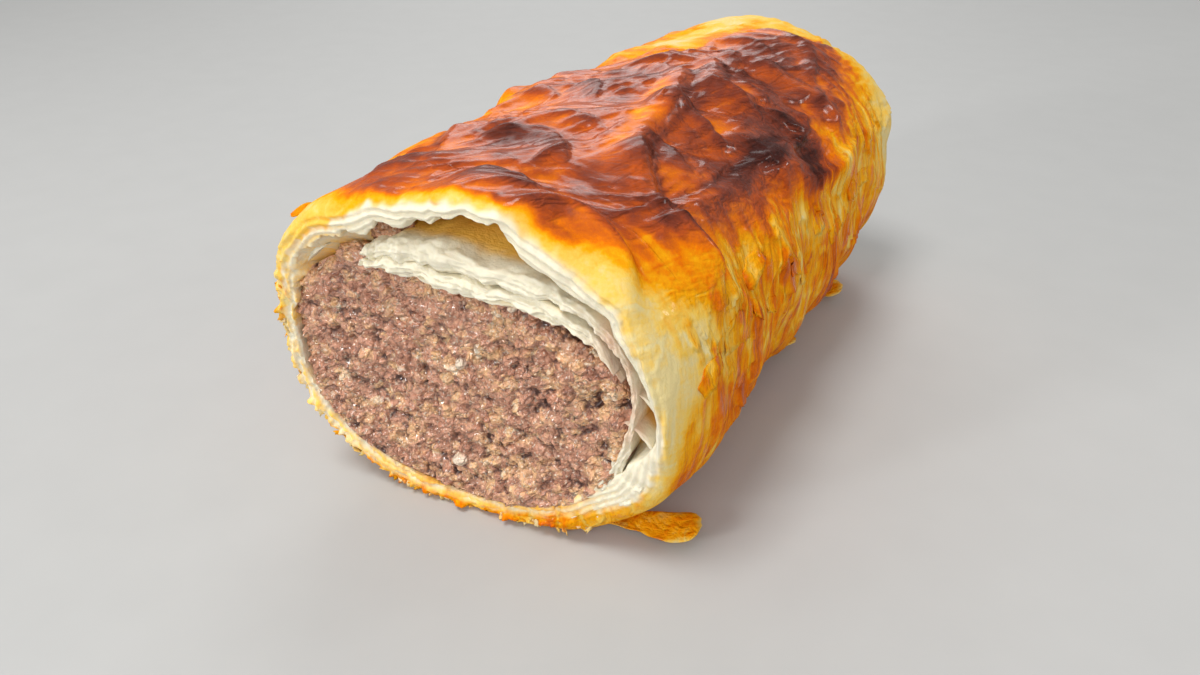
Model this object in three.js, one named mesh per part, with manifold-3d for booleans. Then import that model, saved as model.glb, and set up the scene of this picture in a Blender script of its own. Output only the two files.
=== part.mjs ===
// A baked puff pastry roll with a minced meat filling that shows at both open ends.
// Millimetres, +Z up. The roll lies along Y on the plane z = 0, its front end towards -Y.
import * as THREE from "three";
import { ImprovedNoise } from "three/addons/math/ImprovedNoise.js";
import { mergeVertices } from "three/addons/utils/BufferGeometryUtils.js";
import Module from "manifold-3d";

const wasm = await Module();
wasm.setup();

const { clamp, degToRad, lerp, smoothstep } = THREE.MathUtils;

// Overall size of the roll
const WIDTH = 61.5;
const LENGTH = 105;
const HEIGHT = 50.3;

// Cross section: a superellipse about its axis, cut flat where it rests
const AXIS_HEIGHT = 23.5;
const SQUARENESS = 2.45;
const BASE_SINK = 1.3;
const BASE_BLEND = 7;

// Front end: its rim overhangs at the top, its right side is tucked in and the foot there lifts off
const FRONT_LEAN = 0.085;
const FRONT_SKEW = 0.035;
const FRONT_TUCK = 0.06;
const FRONT_TUCK_LENGTH = 13;
const FRONT_LIFT = 2.6;
const FRONT_LIFT_LENGTH = 9;

// Back end: its rim overhangs a little, and the left shoulder sinks towards it
const BACK_LEAN = 0.04;
const SHOULDER_DROP = 3;
const SHOULDER_DROP_LENGTH = 62;

// Rings of the end faces: share of the section's radius, and depth behind the rim
const FACE_RINGS = [
  [0, 3],
  [0.6, 3],
  [0.74, 1.4],
  [0.8, 0.5],
  [0.85, 1.3],
  [0.9, 0.2],
  [0.945, 0.7],
  [0.975, 0.1],
  [0.993, 0.7],
];
const FACE_ROUGHNESS = 0.6;
const FACE_GRAIN = 3;
const FIRST_CRUST_RING = 2.2;

// Fineness of the surfaces
const CRUST_STEPS_ROUND = 78;
const CRUST_STEPS_ALONG = 40;
const FILLING_STEPS_ROUND = 46;
const FILLING_STEPS_ALONG = 4;
const FILLING_FACE_RINGS = 10;
const FOLD_STEPS = 16;
const HOLLOW_STEPS = [20, 12];
const FLAKE_STEPS = [8, 4];
const MERGE_DISTANCE = 1e-4;

// Uneven swelling of the crust: waves of a height, each repeating over a distance along and round
const CRUST_SWELL = [
  { height: 0.4, along: 31, round: 43, phase: 0.4 },
  { height: 0.35, along: 17, round: -29, phase: 2.1 },
  { height: 0.25, along: 11, round: 13, phase: 4.4 },
  { height: 0.2, along: -9, round: 8, phase: 1.2 },
];

// Folds of the crust. A path holds [distance from the front rim, distance round from the top centre],
// the second one positive to the right. The crust rises to the path over its reach, and falls over its lip.
const FOLDS = {
  shoulderCrease: { height: 1.7, reach: 4.5, lip: 1.5, path: [[44, 11], [28, 12], [16, 21], [15, 31]] },
  frontRidge: { height: 1, reach: 2.5, lip: 2, path: [[0, 10], [6.5, 14], [5, 22], [1, 28]] },
  longSideStep: { height: 1, reach: 3.5, lip: 1.4, path: [[18, 23], [30, 25], [44, 25.5], [52, 26]] },
  lowSideStep: { height: 1, reach: 3.5, lip: 1.4, path: [[46, 28], [57, 32], [67, 34.5], [76, 34]] },
  crescentRidge: { height: 1.4, reach: 2.6, lip: 1.6, path: [[60, 0], [57, 5], [50, 7.5], [43, 9]] },
  secondCrescent: { height: 1, reach: 2.2, lip: 1.6, path: [[67, 6], [62, 9], [56, 11], [55, 17]] },
  backRidge: { height: 1, reach: 2.5, lip: 2, path: [[73, 7], [74, 12], [72, 18], [74, 28]] },
  leftStep: { height: 1, reach: 3.5, lip: 1.5, path: [[20, -12], [36, -16], [52, -17], [70, -14]] },
  lowLeftStep: { height: 1, reach: 3.5, lip: 1.5, path: [[12, -33], [34, -36], [56, -33], [82, -36]] },
};

// Blisters and dips of the crust: place as on a path, half length along and round, and height
const BLISTERS = [
  { at: [5.5, 5], half: [4, 6], height: 1.3 },
  { at: [16, 5], half: [5, 4.5], height: 1.1 },
  { at: [41, 13], half: [4, 5], height: 1 },
  { at: [52, 1], half: [7, 6], height: 1 },
  { at: [49, -21.5], half: [5, 3.5], height: 1.9 },
  { at: [64, -20], half: [10, 8], height: -0.8 },
  { at: [73, 25], half: [4, 5], height: 0.9 },
  { at: [30, -4], half: [8, 6], height: 0.8 },
  { at: [84, 10], half: [6, 8], height: 0.9 },
  { at: [30, -48], half: [9, 6], height: 1 },
  { at: [66, -50], half: [8, 6], height: 0.9 },
  { at: [34, 56], half: [10, 9], height: -1 },
  { at: [68, 56], half: [9, 9], height: 0.9 },
  { at: [8, 57], half: [7, 8], height: 0.9 },
];

// Filling: half sizes about its own axis, the upper half squarer, its top sloping down to the right.
// Its front face leans forward as the rim does.
const FILLING_CENTRE = { x: -2.8, z: 21.2 };
const FILLING_HALF_WIDTH = 25;
const FILLING_RISE = 15.6;
const FILLING_FALL = 18.2;
const FILLING_TOP_SQUARENESS = 2.8;
const FILLING_BOTTOM_SQUARENESS = 2.1;
const FILLING_SLOPE = -0.07;
const FILLING_FRONT_DEPTH = 4.3;
const FILLING_FRONT_LEAN = 0.05;
const FILLING_BACK_DEPTH = 2.6;
const FILLING_ROUGHNESS = 1.1;
const FILLING_GRAIN = 5;
const FILLING_EDGE_ROUNDING = 1.4;
const CLEARANCE = 0.3;

// Steam gaps over the filling and slits in the side walls, each an ellipsoid centred on an end's plane.
// The end is -1 in front, the half sizes are across, along and up, and droop lowers both sides.
const HOLLOWS = [
  { end: -1, at: [4, 43.4], half: [14.5, 42, 2.05], droop: 1.9, turn: 2.5 },
  { end: 1, at: [-3, 42.4], half: [12, 26, 1.8], droop: 1.6, turn: -2 },
  { end: -1, at: [24.2, 29.5], half: [0.55, 8, 4.6], droop: 0, turn: -14 },
  { end: -1, at: [23.4, 19.5], half: [0.9, 6, 2.6], droop: 0, turn: 16 },
  { end: 1, at: [26.2, 27.5], half: [0.6, 8, 4.4], droop: 0, turn: -10 },
];

// Flakes that stick out at the foot: centre, size, heading and bank in degrees, and lift of the tip
const FLAKES = [
  { at: [21.5, -41, 1.3], size: [14, 6.4, 0.9], heading: 24, bank: 4, tip: 0.8 },
  { at: [21.5, 33, 2.4], size: [12, 6, 0.9], heading: 24, bank: 10, tip: 0.8 },
  { at: [20.5, 12, 2.2], size: [10, 5, 0.9], heading: -15, bank: 8, tip: 0.6 },
  { at: [-20.5, -20, 2.2], size: [11, 6, 0.9], heading: 165, bank: 8, tip: 0.8 },
  { at: [-20.5, 27, 2.2], size: [10, 6, 0.9], heading: 195, bank: 8, tip: 0.6 },
];
const FLAKE_TAPER = 0.85;
const FLAKE_WAVE = { height: 0.35, along: 3, across: 2 };

const noise = new ImprovedNoise();

function signedPower(value, power) {
  return Math.sign(value) * Math.abs(value) ** power;
}

// The crust's section, from the top centre round by the right side
class CrustOutline extends THREE.Curve {
  getPoint(t, target = new THREE.Vector2()) {
    const angle = 2 * Math.PI * t;
    const across = signedPower(Math.sin(angle), 2 / SQUARENESS);
    const up = signedPower(Math.cos(angle), 2 / SQUARENESS);
    const rise = up > 0 ? HEIGHT - AXIS_HEIGHT : AXIS_HEIGHT + BASE_SINK;
    return target.set((WIDTH / 2) * across, Math.max(0, AXIS_HEIGHT + rise * up));
  }
}

// The filling's section, grown all round by a margin
class FillingOutline extends THREE.Curve {
  constructor(margin) {
    super();
    this.margin = margin;
  }

  getPoint(t, target = new THREE.Vector2()) {
    const angle = 2 * Math.PI * t;
    const upper = Math.cos(angle) > 0;
    const squareness = upper ? FILLING_TOP_SQUARENESS : FILLING_BOTTOM_SQUARENESS;
    const across = signedPower(Math.sin(angle), 2 / squareness);
    const up = signedPower(Math.cos(angle), 2 / squareness);
    const x = (FILLING_HALF_WIDTH + this.margin) * across;
    const z = ((upper ? FILLING_RISE : FILLING_FALL) + this.margin) * up;
    const slope = upper ? FILLING_SLOPE * x * up : 0;
    return target.set(FILLING_CENTRE.x + x, FILLING_CENTRE.z + z + slope);
  }

  // Point at a share of the way from the filling's axis to its outline
  getPointInside(share, turn) {
    const edge = this.getPointAt(turn);
    return {
      x: lerp(FILLING_CENTRE.x, edge.x, share),
      z: lerp(FILLING_CENTRE.z, edge.y, share),
    };
  }
}

// A geometry with nothing but positions, so that its shared vertices merge
function bare(geometry) {
  geometry.deleteAttribute("normal");
  geometry.deleteAttribute("uv");
  return geometry;
}

// A lathe whose vertices are moved to place(share of the radius, share of the turn, distance along)
function shapedLathe(profile, stepsRound, place) {
  const points = profile.map(([share, along]) => new THREE.Vector2(share, along));
  const lathe = bare(new THREE.LatheGeometry(points, stepsRound));
  const position = lathe.getAttribute("position");
  for (let i = 0; i < position.count; i++) {
    const x = position.getX(i);
    const z = position.getZ(i);
    const turn = (Math.atan2(x, z) / (2 * Math.PI) + 1) % 1;
    const placed = place(Math.hypot(x, z), turn, position.getY(i));
    position.setXYZ(i, placed.x, placed.y, placed.z);
  }
  return mergeVertices(lathe, MERGE_DISTANCE);
}

function solidOf(geometry) {
  const merged = mergeVertices(geometry, MERGE_DISTANCE);
  const mesh = new wasm.Mesh({
    numProp: 3,
    vertProperties: merged.getAttribute("position").array,
    triVerts: new Uint32Array(merged.index.array),
  });
  return new wasm.Manifold(mesh);
}

function geometryOf(solid) {
  const mesh = solid.getMesh();
  const geometry = new THREE.BufferGeometry();
  geometry.setAttribute("position", new THREE.BufferAttribute(mesh.vertProperties, 3));
  geometry.setIndex(new THREE.BufferAttribute(mesh.triVerts, 1));
  return geometry;
}

// Evenly spaced rings of full radius between two distances along
function middleRings(from, to, steps) {
  return Array.from({ length: steps + 1 }, (_, i) => [1, lerp(from, to, i / steps)]);
}

const foldLines = Object.values(FOLDS).map(({ path, ...fold }) => {
  const points = path.map(([along, round]) => new THREE.Vector2(along, round));
  return { ...fold, line: new THREE.SplineCurve(points).getPoints(FOLD_STEPS) };
});

// Rise of a fold at a place on the crust, from the nearest stretch of its line
function foldRise({ height, reach, lip, line }, along, round) {
  let nearest = Infinity;
  let side = 1;
  for (let i = 1; i < line.length; i++) {
    const stretch = line[i].clone().sub(line[i - 1]);
    const offset = new THREE.Vector2(along, round).sub(line[i - 1]);
    const share = clamp(offset.dot(stretch) / stretch.lengthSq(), 0, 1);
    const gap = offset.clone().addScaledVector(stretch, -share).length();
    if (gap < nearest) {
      nearest = gap;
      side = stretch.cross(offset);
    }
  }
  const spread = side > 0 ? reach : lip;
  return height * Math.exp(-((nearest / spread) ** 2));
}

function blisterRise({ at, half, height }, along, round) {
  const u = (along - at[0]) / half[0];
  const w = (round - at[1]) / half[1];
  return height * Math.exp(-(u * u + w * w));
}

function crustRise(along, round) {
  let rise = 0;
  for (const wave of CRUST_SWELL) {
    rise += wave.height * Math.sin(2 * Math.PI * (along / wave.along + round / wave.round) + wave.phase);
  }
  for (const fold of foldLines) {
    rise += foldRise(fold, along, round);
  }
  for (const blister of BLISTERS) {
    rise += blisterRise(blister, along, round);
  }
  return rise;
}

// Bends a point of the straight roll to the lean, tuck and sag of its two ends
function bentRoll(point, along) {
  const tuck = FRONT_TUCK * (1 - smoothstep(along, 0, FRONT_TUCK_LENGTH));
  const x = point.x > 0 ? point.x * (1 - tuck) : point.x;
  const lift = FRONT_LIFT * (1 - smoothstep(along, 0, FRONT_LIFT_LENGTH));
  const foot = smoothstep(x, 0, WIDTH / 2) * (1 - smoothstep(point.z, 0, AXIS_HEIGHT));
  const drop = SHOULDER_DROP * smoothstep(along, LENGTH - SHOULDER_DROP_LENGTH, LENGTH);
  const high = Math.max(0, point.z - AXIS_HEIGHT) / (HEIGHT - AXIS_HEIGHT);
  const left = Math.max(0, -x) / (WIDTH / 2);
  const z = point.z + lift * foot - drop * high * left;
  const fore = 1 - along / LENGTH;
  const lean = lerp(-BACK_LEAN, FRONT_LEAN, fore);
  const y = along - LENGTH / 2 - lean * (z - HEIGHT / 2) + FRONT_SKEW * fore * x;
  return new THREE.Vector3(x, y, z);
}

// Scales a geometry to the roll's overall size, centred on x = 0 and y = 0 and standing on z = 0
function fittedToSize(geometry) {
  geometry.computeBoundingBox();
  const centre = geometry.boundingBox.getCenter(new THREE.Vector3());
  const size = geometry.boundingBox.getSize(new THREE.Vector3());
  geometry.translate(-centre.x, -centre.y, -geometry.boundingBox.min.z);
  geometry.scale(WIDTH / size.x, LENGTH / size.y, HEIGHT / size.z);
  return geometry;
}

// The outer skin of the roll, end faces included
function crustGeometry() {
  const outline = new CrustOutline();
  const girth = outline.getLength();
  const profile = [
    ...FACE_RINGS,
    ...middleRings(FIRST_CRUST_RING, LENGTH - FIRST_CRUST_RING, CRUST_STEPS_ALONG),
    ...FACE_RINGS.map(([share, depth]) => [share, LENGTH - depth]).reverse(),
  ];
  const crust = shapedLathe(profile, CRUST_STEPS_ROUND, (share, turn, along) => {
    const edge = outline.getPointAt(turn);
    const tangent = outline.getTangentAt(turn);
    const round = (turn < 0.5 ? turn : turn - 1) * girth;
    const rise = smoothstep(edge.y, 0, BASE_BLEND) * crustRise(along, round);
    const x = share * (edge.x - tangent.y * rise);
    const z = lerp(AXIS_HEIGHT, edge.y + tangent.x * rise, share);
    const placed = bentRoll({ x, z }, along);
    const rough = share < 1 ? FACE_ROUGHNESS * share : 0;
    placed.y += rough * noise.noise(x / FACE_GRAIN, z / FACE_GRAIN, along);
    return placed;
  });
  return fittedToSize(crust);
}

// The filling's bore through the pastry, longer than the roll
function boreGeometry() {
  const outline = new FillingOutline(CLEARANCE);
  const profile = [
    [0, -LENGTH],
    [1, -LENGTH],
    [1, LENGTH],
    [0, LENGTH],
  ];
  return shapedLathe(profile, FILLING_STEPS_ROUND, (share, turn, along) => {
    const { x, z } = outline.getPointInside(share, turn);
    return { x, y: along, z };
  });
}

// The filling, with coarse mince on its end faces
function fillingGeometry() {
  const outline = new FillingOutline(0);
  const front = FILLING_FRONT_DEPTH - LENGTH / 2;
  const back = LENGTH / 2 - FILLING_BACK_DEPTH;
  const shares = Array.from({ length: FILLING_FACE_RINGS }, (_, i) => i / FILLING_FACE_RINGS);
  const profile = [
    ...shares.map((share) => [share, front]),
    ...middleRings(front + FILLING_EDGE_ROUNDING, back - FILLING_EDGE_ROUNDING, FILLING_STEPS_ALONG),
    ...shares.map((share) => [share, back]).reverse(),
  ];
  return shapedLathe(profile, FILLING_STEPS_ROUND, (share, turn, along) => {
    const { x, z } = outline.getPointInside(share, turn);
    const rough = share < 1 ? FILLING_ROUGHNESS : 0;
    const lean = (FILLING_FRONT_LEAN * (back - along)) / (back - front);
    const mince = rough * noise.noise(x / FILLING_GRAIN, z / FILLING_GRAIN, along);
    return { x, y: along + mince - lean * (z - FILLING_CENTRE.z), z };
  });
}

// A flattened hollow that opens at one end of the roll
function hollowGeometry({ end, at, half, droop, turn }) {
  const hollow = bare(new THREE.SphereGeometry(1, ...HOLLOW_STEPS));
  hollow.scale(...half);
  const position = hollow.getAttribute("position");
  for (let i = 0; i < position.count; i++) {
    const share = position.getX(i) / half[0];
    position.setZ(i, position.getZ(i) - droop * share * share);
  }
  hollow.rotateY(degToRad(turn));
  hollow.translate(at[0], (end * LENGTH) / 2, at[1]);
  return hollow;
}

// A thin wavy flake, narrowed at both ends
function flakeGeometry({ at, size, heading, bank, tip }) {
  const flake = bare(new THREE.BoxGeometry(...size, ...FLAKE_STEPS, 1));
  const position = flake.getAttribute("position");
  for (let i = 0; i < position.count; i++) {
    const along = position.getX(i) / (size[0] / 2);
    const across = position.getY(i) / (size[1] / 2);
    const narrow = Math.sqrt(1 - FLAKE_TAPER * along ** 4);
    const wave = FLAKE_WAVE.height * Math.sin(FLAKE_WAVE.along * along + FLAKE_WAVE.across * across);
    position.setY(i, position.getY(i) * narrow);
    position.setZ(i, position.getZ(i) + wave + tip * Math.max(0, along) ** 2);
  }
  flake.rotateX(degToRad(bank));
  flake.rotateZ(degToRad(heading));
  flake.translate(...at);
  return flake;
}

function pastryGeometry() {
  let pastry = solidOf(crustGeometry());
  for (const flake of FLAKES) {
    pastry = pastry.add(solidOf(flakeGeometry(flake)));
  }
  pastry = pastry.subtract(solidOf(boreGeometry()));
  for (const hollow of HOLLOWS) {
    pastry = pastry.subtract(solidOf(hollowGeometry(hollow)));
  }
  return geometryOf(pastry);
}

function part(name, geometry, finish) {
  geometry.computeVertexNormals();
  const mesh = new THREE.Mesh(geometry, new THREE.MeshStandardMaterial(finish));
  mesh.name = name;
  return mesh;
}

const roll = new THREE.Group();
roll.name = "pastry_roll";
roll.add(part("pastry", pastryGeometry(), { color: 0xc9782f, roughness: 0.45, metalness: 0 }));
roll.add(part("filling", fillingGeometry(), { color: 0x8f6b5c, roughness: 0.7, metalness: 0 }));

export default roll;
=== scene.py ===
"""Baked puff pastry roll with a minced meat filling: crust, lining, filling, flakes and a plain stage."""

import math
import random

import bmesh
import bpy
import numpy as np
from bpy.props import FloatProperty, FloatVectorProperty, IntProperty, PointerProperty
from mathutils import Euler, Matrix, Vector, noise


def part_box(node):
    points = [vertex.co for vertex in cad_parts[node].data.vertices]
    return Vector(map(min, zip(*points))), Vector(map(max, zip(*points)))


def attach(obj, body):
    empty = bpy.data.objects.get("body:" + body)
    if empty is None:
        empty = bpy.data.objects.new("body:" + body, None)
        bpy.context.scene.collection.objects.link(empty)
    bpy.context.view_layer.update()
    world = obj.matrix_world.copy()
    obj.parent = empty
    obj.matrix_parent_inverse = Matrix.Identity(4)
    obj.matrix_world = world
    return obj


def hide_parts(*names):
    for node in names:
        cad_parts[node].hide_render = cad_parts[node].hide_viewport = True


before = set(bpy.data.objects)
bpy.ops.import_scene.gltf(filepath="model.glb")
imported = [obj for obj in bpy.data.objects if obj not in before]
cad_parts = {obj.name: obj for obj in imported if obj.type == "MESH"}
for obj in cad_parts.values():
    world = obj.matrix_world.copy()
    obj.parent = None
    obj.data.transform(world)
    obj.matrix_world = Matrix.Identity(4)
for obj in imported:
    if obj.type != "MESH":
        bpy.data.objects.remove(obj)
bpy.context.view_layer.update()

PASTRY_LOW, PASTRY_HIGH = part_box("pastry")

bl_info = {
    "name": "Pastry Roll",
    "version": (1, 0, 0),
    "blender": (4, 5, 0),
    "location": "View3D > Sidebar > Pastry Roll",
    "description": "Dresses a baked pastry roll with its crust, lining, filling and flakes",
    "category": "Add Mesh",
}

MM = 0.001
BODY = "root"

# Distances in metres under which points are welded and faces dropped
WELD = 1e-6
DEGENERATE = 1e-7

# The roll's size and section, in millimetres, as in the solids
WIDTH, LENGTH, HEIGHT = (PASTRY_HIGH - PASTRY_LOW) / MM
AXIS_HEIGHT = 23.5
SQUARENESS = 2.45
BASE_SINK = 1.3
BASE_BLEND = 7
SECTION_STEPS = 1440
OUTWARD_STEP = 0.004
FIT_ROWS, FIT_COLUMNS = 48, 79

# Lean, tuck and sag of the two ends
FRONT_LEAN = 0.085
FRONT_SKEW = 0.035
FRONT_TUCK = 0.06
FRONT_TUCK_LENGTH = 13
FRONT_LIFT = 2.6
FRONT_LIFT_LENGTH = 9
BACK_LEAN = 0.04
SHOULDER_DROP = 3
SHOULDER_DROP_LENGTH = 62

# Waves that swell the crust: height, length along, length round, phase
SWELLS = (
    (0.4, 31, 43, 0.4),
    (0.35, 17, -29, 2.1),
)

# Folds of the crust: height, reach, lip, then a path of distance from the front rim and distance round
# from the top centre, positive to the right. The crust rises over the reach and falls over the lip.
FOLDS = (
    (1.7, 4.5, 1.5, ((44, 11), (28, 12), (16, 21), (15, 31))),
    (1, 2.5, 2, ((0, 10), (6.5, 14), (5, 22), (1, 28))),
    (1, 3.5, 1.4, ((18, 23), (30, 25), (44, 25.5), (52, 26))),
    (1, 3.5, 1.4, ((46, 28), (57, 32), (67, 34.5), (76, 34))),
    (1.4, 2.6, 1.6, ((60, 0), (57, 5), (50, 7.5), (43, 9))),
    (1, 2.2, 1.6, ((67, 6), (62, 9), (56, 11), (55, 17))),
    (1, 2.5, 2, ((73, 7), (74, 12), (72, 18), (74, 28))),
    (1, 3.5, 1.5, ((20, -12), (36, -16), (52, -17), (70, -14))),
    (1, 3.5, 1.5, ((12, -33), (34, -36), (56, -33), (82, -36))),
)

# Blisters and dips: distance along, distance round, half length, half width, height
BLISTERS = (
    (5.5, 5, 4, 6, 1.3),
    (16, 5, 5, 4.5, 1.1),
    (41, 13, 4, 5, 1),
    (52, 1, 7, 6, 1),
    (49, -21.5, 4.5, 2.8, 2.6),
    (64, -20, 10, 8, -0.8),
    (73, 25, 4, 5, 0.9),
    (30, -4, 8, 6, 0.8),
    (84, 10, 6, 8, 0.9),
    (30, -48, 9, 6, 1),
    (66, -50, 8, 6, 0.9),
    (34, 56, 10, 9, -1),
    (68, 56, 9, 9, 0.9),
    (8, 57, 7, 8, 0.9),
)

# Steps of a fold's line, and the painted shade of the crease at the foot of its lip: distance in lips and
# half width
FOLD_STEPS = 17
CREASE_LIPS = 1.3
CREASE_WIDTH = 0.6

# Finer wrinkles seen on the crust, laid out as the folds are
WRINKLES = (
    (0.8, 3, 0.6, ((9.5, -2), (9.6, 3), (9.2, 7), (7, 10.3))),
    (0.4, 1.5, 0.5, ((1, 10.4), (3, 11), (5.5, 11.4), (7.5, 12.4))),
    (0.6, 3, 0.5, ((27, -1), (24, 2.5), (20, 5.8), (15, 8.6))),
    (0.6, 3, 0.5, ((21, -10), (24.5, -6), (26, -2), (26.5, 1))),
    (0.35, 1.4, 0.4, ((32, -3), (31.5, 2), (30, 5), (27.5, 8.5))),
    (0.7, 2, 0.6, ((43, 7), (42, 12), (41, 17), (39.5, 21.5))),
    (0.5, 2.2, 0.5, ((47, -15), (44, -12), (42, -9), (39.5, -6))),
    (0.45, 1.6, 0.4, ((32, 11.6), (31.4, 14), (30, 17), (27, 19.4))),
    (0.4, 1.5, 0.4, ((40, 21.6), (36, 22.4), (31, 22.6), (26, 23.6))),
    (0.45, 1.6, 0.4, ((52, -7), (48, -4.4), (44, -2.4), (39, -1))),
    (0.5, 2, 0.4, ((55, 8.5), (55.6, 12), (55.4, 15), (54.6, 18.6))),
    (0.4, 1.6, 0.4, ((61, 9), (61.4, 13), (61, 17), (60, 20))),
    (0.4, 1.8, 0.4, ((66.4, 8), (66.6, 13), (66, 17), (65, 21))),
    (0.4, 1.5, 0.4, ((73, 22.4), (70, 22.4), (67, 21.2), (64.6, 19))),
    (0.45, 1.6, 0.4, ((66, 22), (64, 26), (58, 27.4), (52, 26.4))),
    (0.5, 1.6, 0.5, ((65, 6), (66, 2), (64, -4), (60, -8))),
    (0.5, 2, 0.5, ((92, 16), (86, 18.4), (80, 20.4), (75, 22))),
    (0.4, 1.6, 0.5, ((91, 2), (93, 9), (91, 16), (92, 24))),
    (0.4, 1.6, 0.5, ((80, -2), (84, 3), (83, 9), (79, 14))),
    (0.6, 1.6, 0.4, ((31, 32.5), (31, 35), (28, 37), (25, 38.4))),
    (0.5, 2, 0.4, ((13, 41), (9, 42), (6, 44), (0, 41.4))),
    (0.45, 2.4, 0.4, ((22, 43), (21.6, 39), (19, 36), (15, 35))),
    (0.4, 1.6, 0.4, ((40, 47), (37, 44), (36, 40), (33, 37))),
    (0.4, 1.6, 0.4, ((53, 48), (50, 43), (50, 38), (46, 36))),
    (0.5, 1.5, 0.35, ((3.4, -14), (2.4, -21), (3.6, -26), (2.2, -31), (3.5, -37))),
    (0.9, 2.2, 0.7, ((16.2, 22.5), (15.2, 25.5), (15.6, 28.5), (17.6, 32.5))),
    (0.7, 2.4, 0.6, ((46, 29), (52, 32), (59, 33.6), (66, 34.6), (73, 33))),
)

# Sharp crest of the fold behind the front rim, laid out as the folds are
RIM_RIDGE = (0.9, 1.5, 0.8, ((0.5, 10), (6.2, 14.5), (6.4, 21), (3, 28.5)))

# Short wrinkles at random places: seed, reach along and round, lengths and heights
STRAY_SEED = 11
STRAY_ALONG = (3, 101)
STRAY_AROUND = (-34, 28)
STRAY_LENGTHS = (6, 16)
STRAY_HEIGHTS = (0.12, 0.32)

# Fine crinkles of the browned top: heading, length, width and share of the wrinkle height
CRINKLES = (
    (0.6, 13, 3.6, 1.2),
    (1, 10, 2.9, 0.9),
    (0.25, 9, 1.8, 0.5),
    (1.4, 7, 1.5, 0.4),
)

# Darker and lighter patches of the crust: distance along, round, half length, half width, strength
BAKED_PATCHES = (
    (6, 4, 4.5, 5, 0.1),
    (19, 0, 6, 8, 0.1),
    (23, -4, 4, 3.5, 0.18),
    (17, 13, 6, 4, 0.1),
    (28, 16, 5, 3, 0.14),
    (33, 0, 7, 3, 0.06),
    (48, -3, 8, 6, 0.14),
    (58, -2, 6, 6, 0.14),
    (33, 25, 8, 1.8, 0.2),
    (46, 25, 6, 3, 0.34),
    (57, 30.5, 7, 2.5, 0.42),
    (56, 23, 9, 4, 0.26),
    (68, 15, 7, 8, 0.14),
    (82, 11, 10, 7, 0.24),
    (72, 24.5, 2, 1.2, 0.25),
    # These three rows darken the shaded side of the main fold's lip: painted shade over real browning
    (15, 24, 2, 6, 0.22),
    (16.2, 27, 1.2, 3, 0.26),
    (17.2, 31, 1, 1.8, 0.3),
    (6.4, 21, 1.2, 4, 0.12),
    (56, 33.4, 6, 1.3, 0.2),
    (12, 2, 1.6, 7, -0.08),
    (8, -9, 5, 6, 0.1),
    (2, 4, 2, 7, -0.08),
    (33, 9.7, 8, 1.6, -0.2),
    (33, 6, 8, 2.5, -0.06),
    (47, 5.5, 7, 1.8, -0.18),
    (58.5, 15, 2.2, 4, -0.18),
    (34, -8, 10, 4, -0.1),
    (66.5, 27, 3, 3.5, -0.24),
    (26, 21, 9, 2.2, -0.06),
    (80, -6, 14, 7, -0.34),
    (97, 3, 8, 9, -0.3),
    (84, 25, 8, 3, -0.1),
    (11, 21, 4, 7, 0.12),
    (6.5, 15, 2.5, 4, -0.12),
    (5, 19, 4, 6, 0.04),
    (17, 39.5, 4, 4, -0.05),
    (14, 37, 5, 5, -0.08),
    (34, 47, 5, 2.5, 0.06),
    (56, 42, 6, 4, -0.08),
    (24, 34, 5, 3, -0.08),
    (98, 36, 6, 14, -0.2),
    (30, -34, 12, 5, 0.14),
    (70, -40, 14, 6, 0.14),
    (50, -52, 10, 5, 0.1),
)

# Zones of the crust: distances round where each starts, is full, fades and is gone, or only starts and is
# full. The bottom is full under the first height and gone above the second. The rim's reach is along.
TOP_ZONE = (-34, -22, 25, 36)
UNDERSIDE = (66, 74)
LEFT_EDGE = (26, 40)
BOTTOM = (1, 9)
TORN_EDGE = (-46, -36, 8, 16)
CLEAN_EDGE = (40, 50, 72, 80)
RIM_REACH = 1.6

# Edges of the browned top: distance along, left edge and right edge round the crust
BROWNED_TOP = (
    (0, -17, 15), (6, -17, 17), (12, -15, 23), (18, -13, 27), (30, -12, 27.5), (42, -13, 29),
    (53, -14, 33), (63, -13, 33.5), (70, -9, 30), (80, -2, 28), (90, 3, 27), (105, 7, 24),
)

# Wall of the crust at the two rims: distance round and thickness
FRONT_WALL = (
    (-90, 2.2), (-70, 2.4), (-58, 2.6), (-46, 2.9), (-38, 3.8), (-30, 4.6), (-20, 4.8), (-12, 4.4),
    (-5, 3.7), (0, 3.8), (2.5, 3.4), (4, 2.6), (6.5, 2.3), (9, 2.7), (10.5, 4), (13, 4.6),
    (17, 4.8), (24, 4.8), (34, 4), (40, 2.8), (45, 2.1), (48, 2.4), (51, 3.8), (55, 6.4), (60, 7.4),
    (66, 7), (72, 5), (80, 3), (90, 2.2),
)
BACK_WALL = (
    (-90, 1.7), (-60, 2), (-40, 2.2), (-26, 3), (-15, 3.8), (-6, 3.4), (0, 3), (6, 3.9), (14, 4.6),
    (26, 3.8), (40, 3), (50, 3.4), (60, 4.4), (75, 2.6), (90, 1.7),
)

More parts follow.
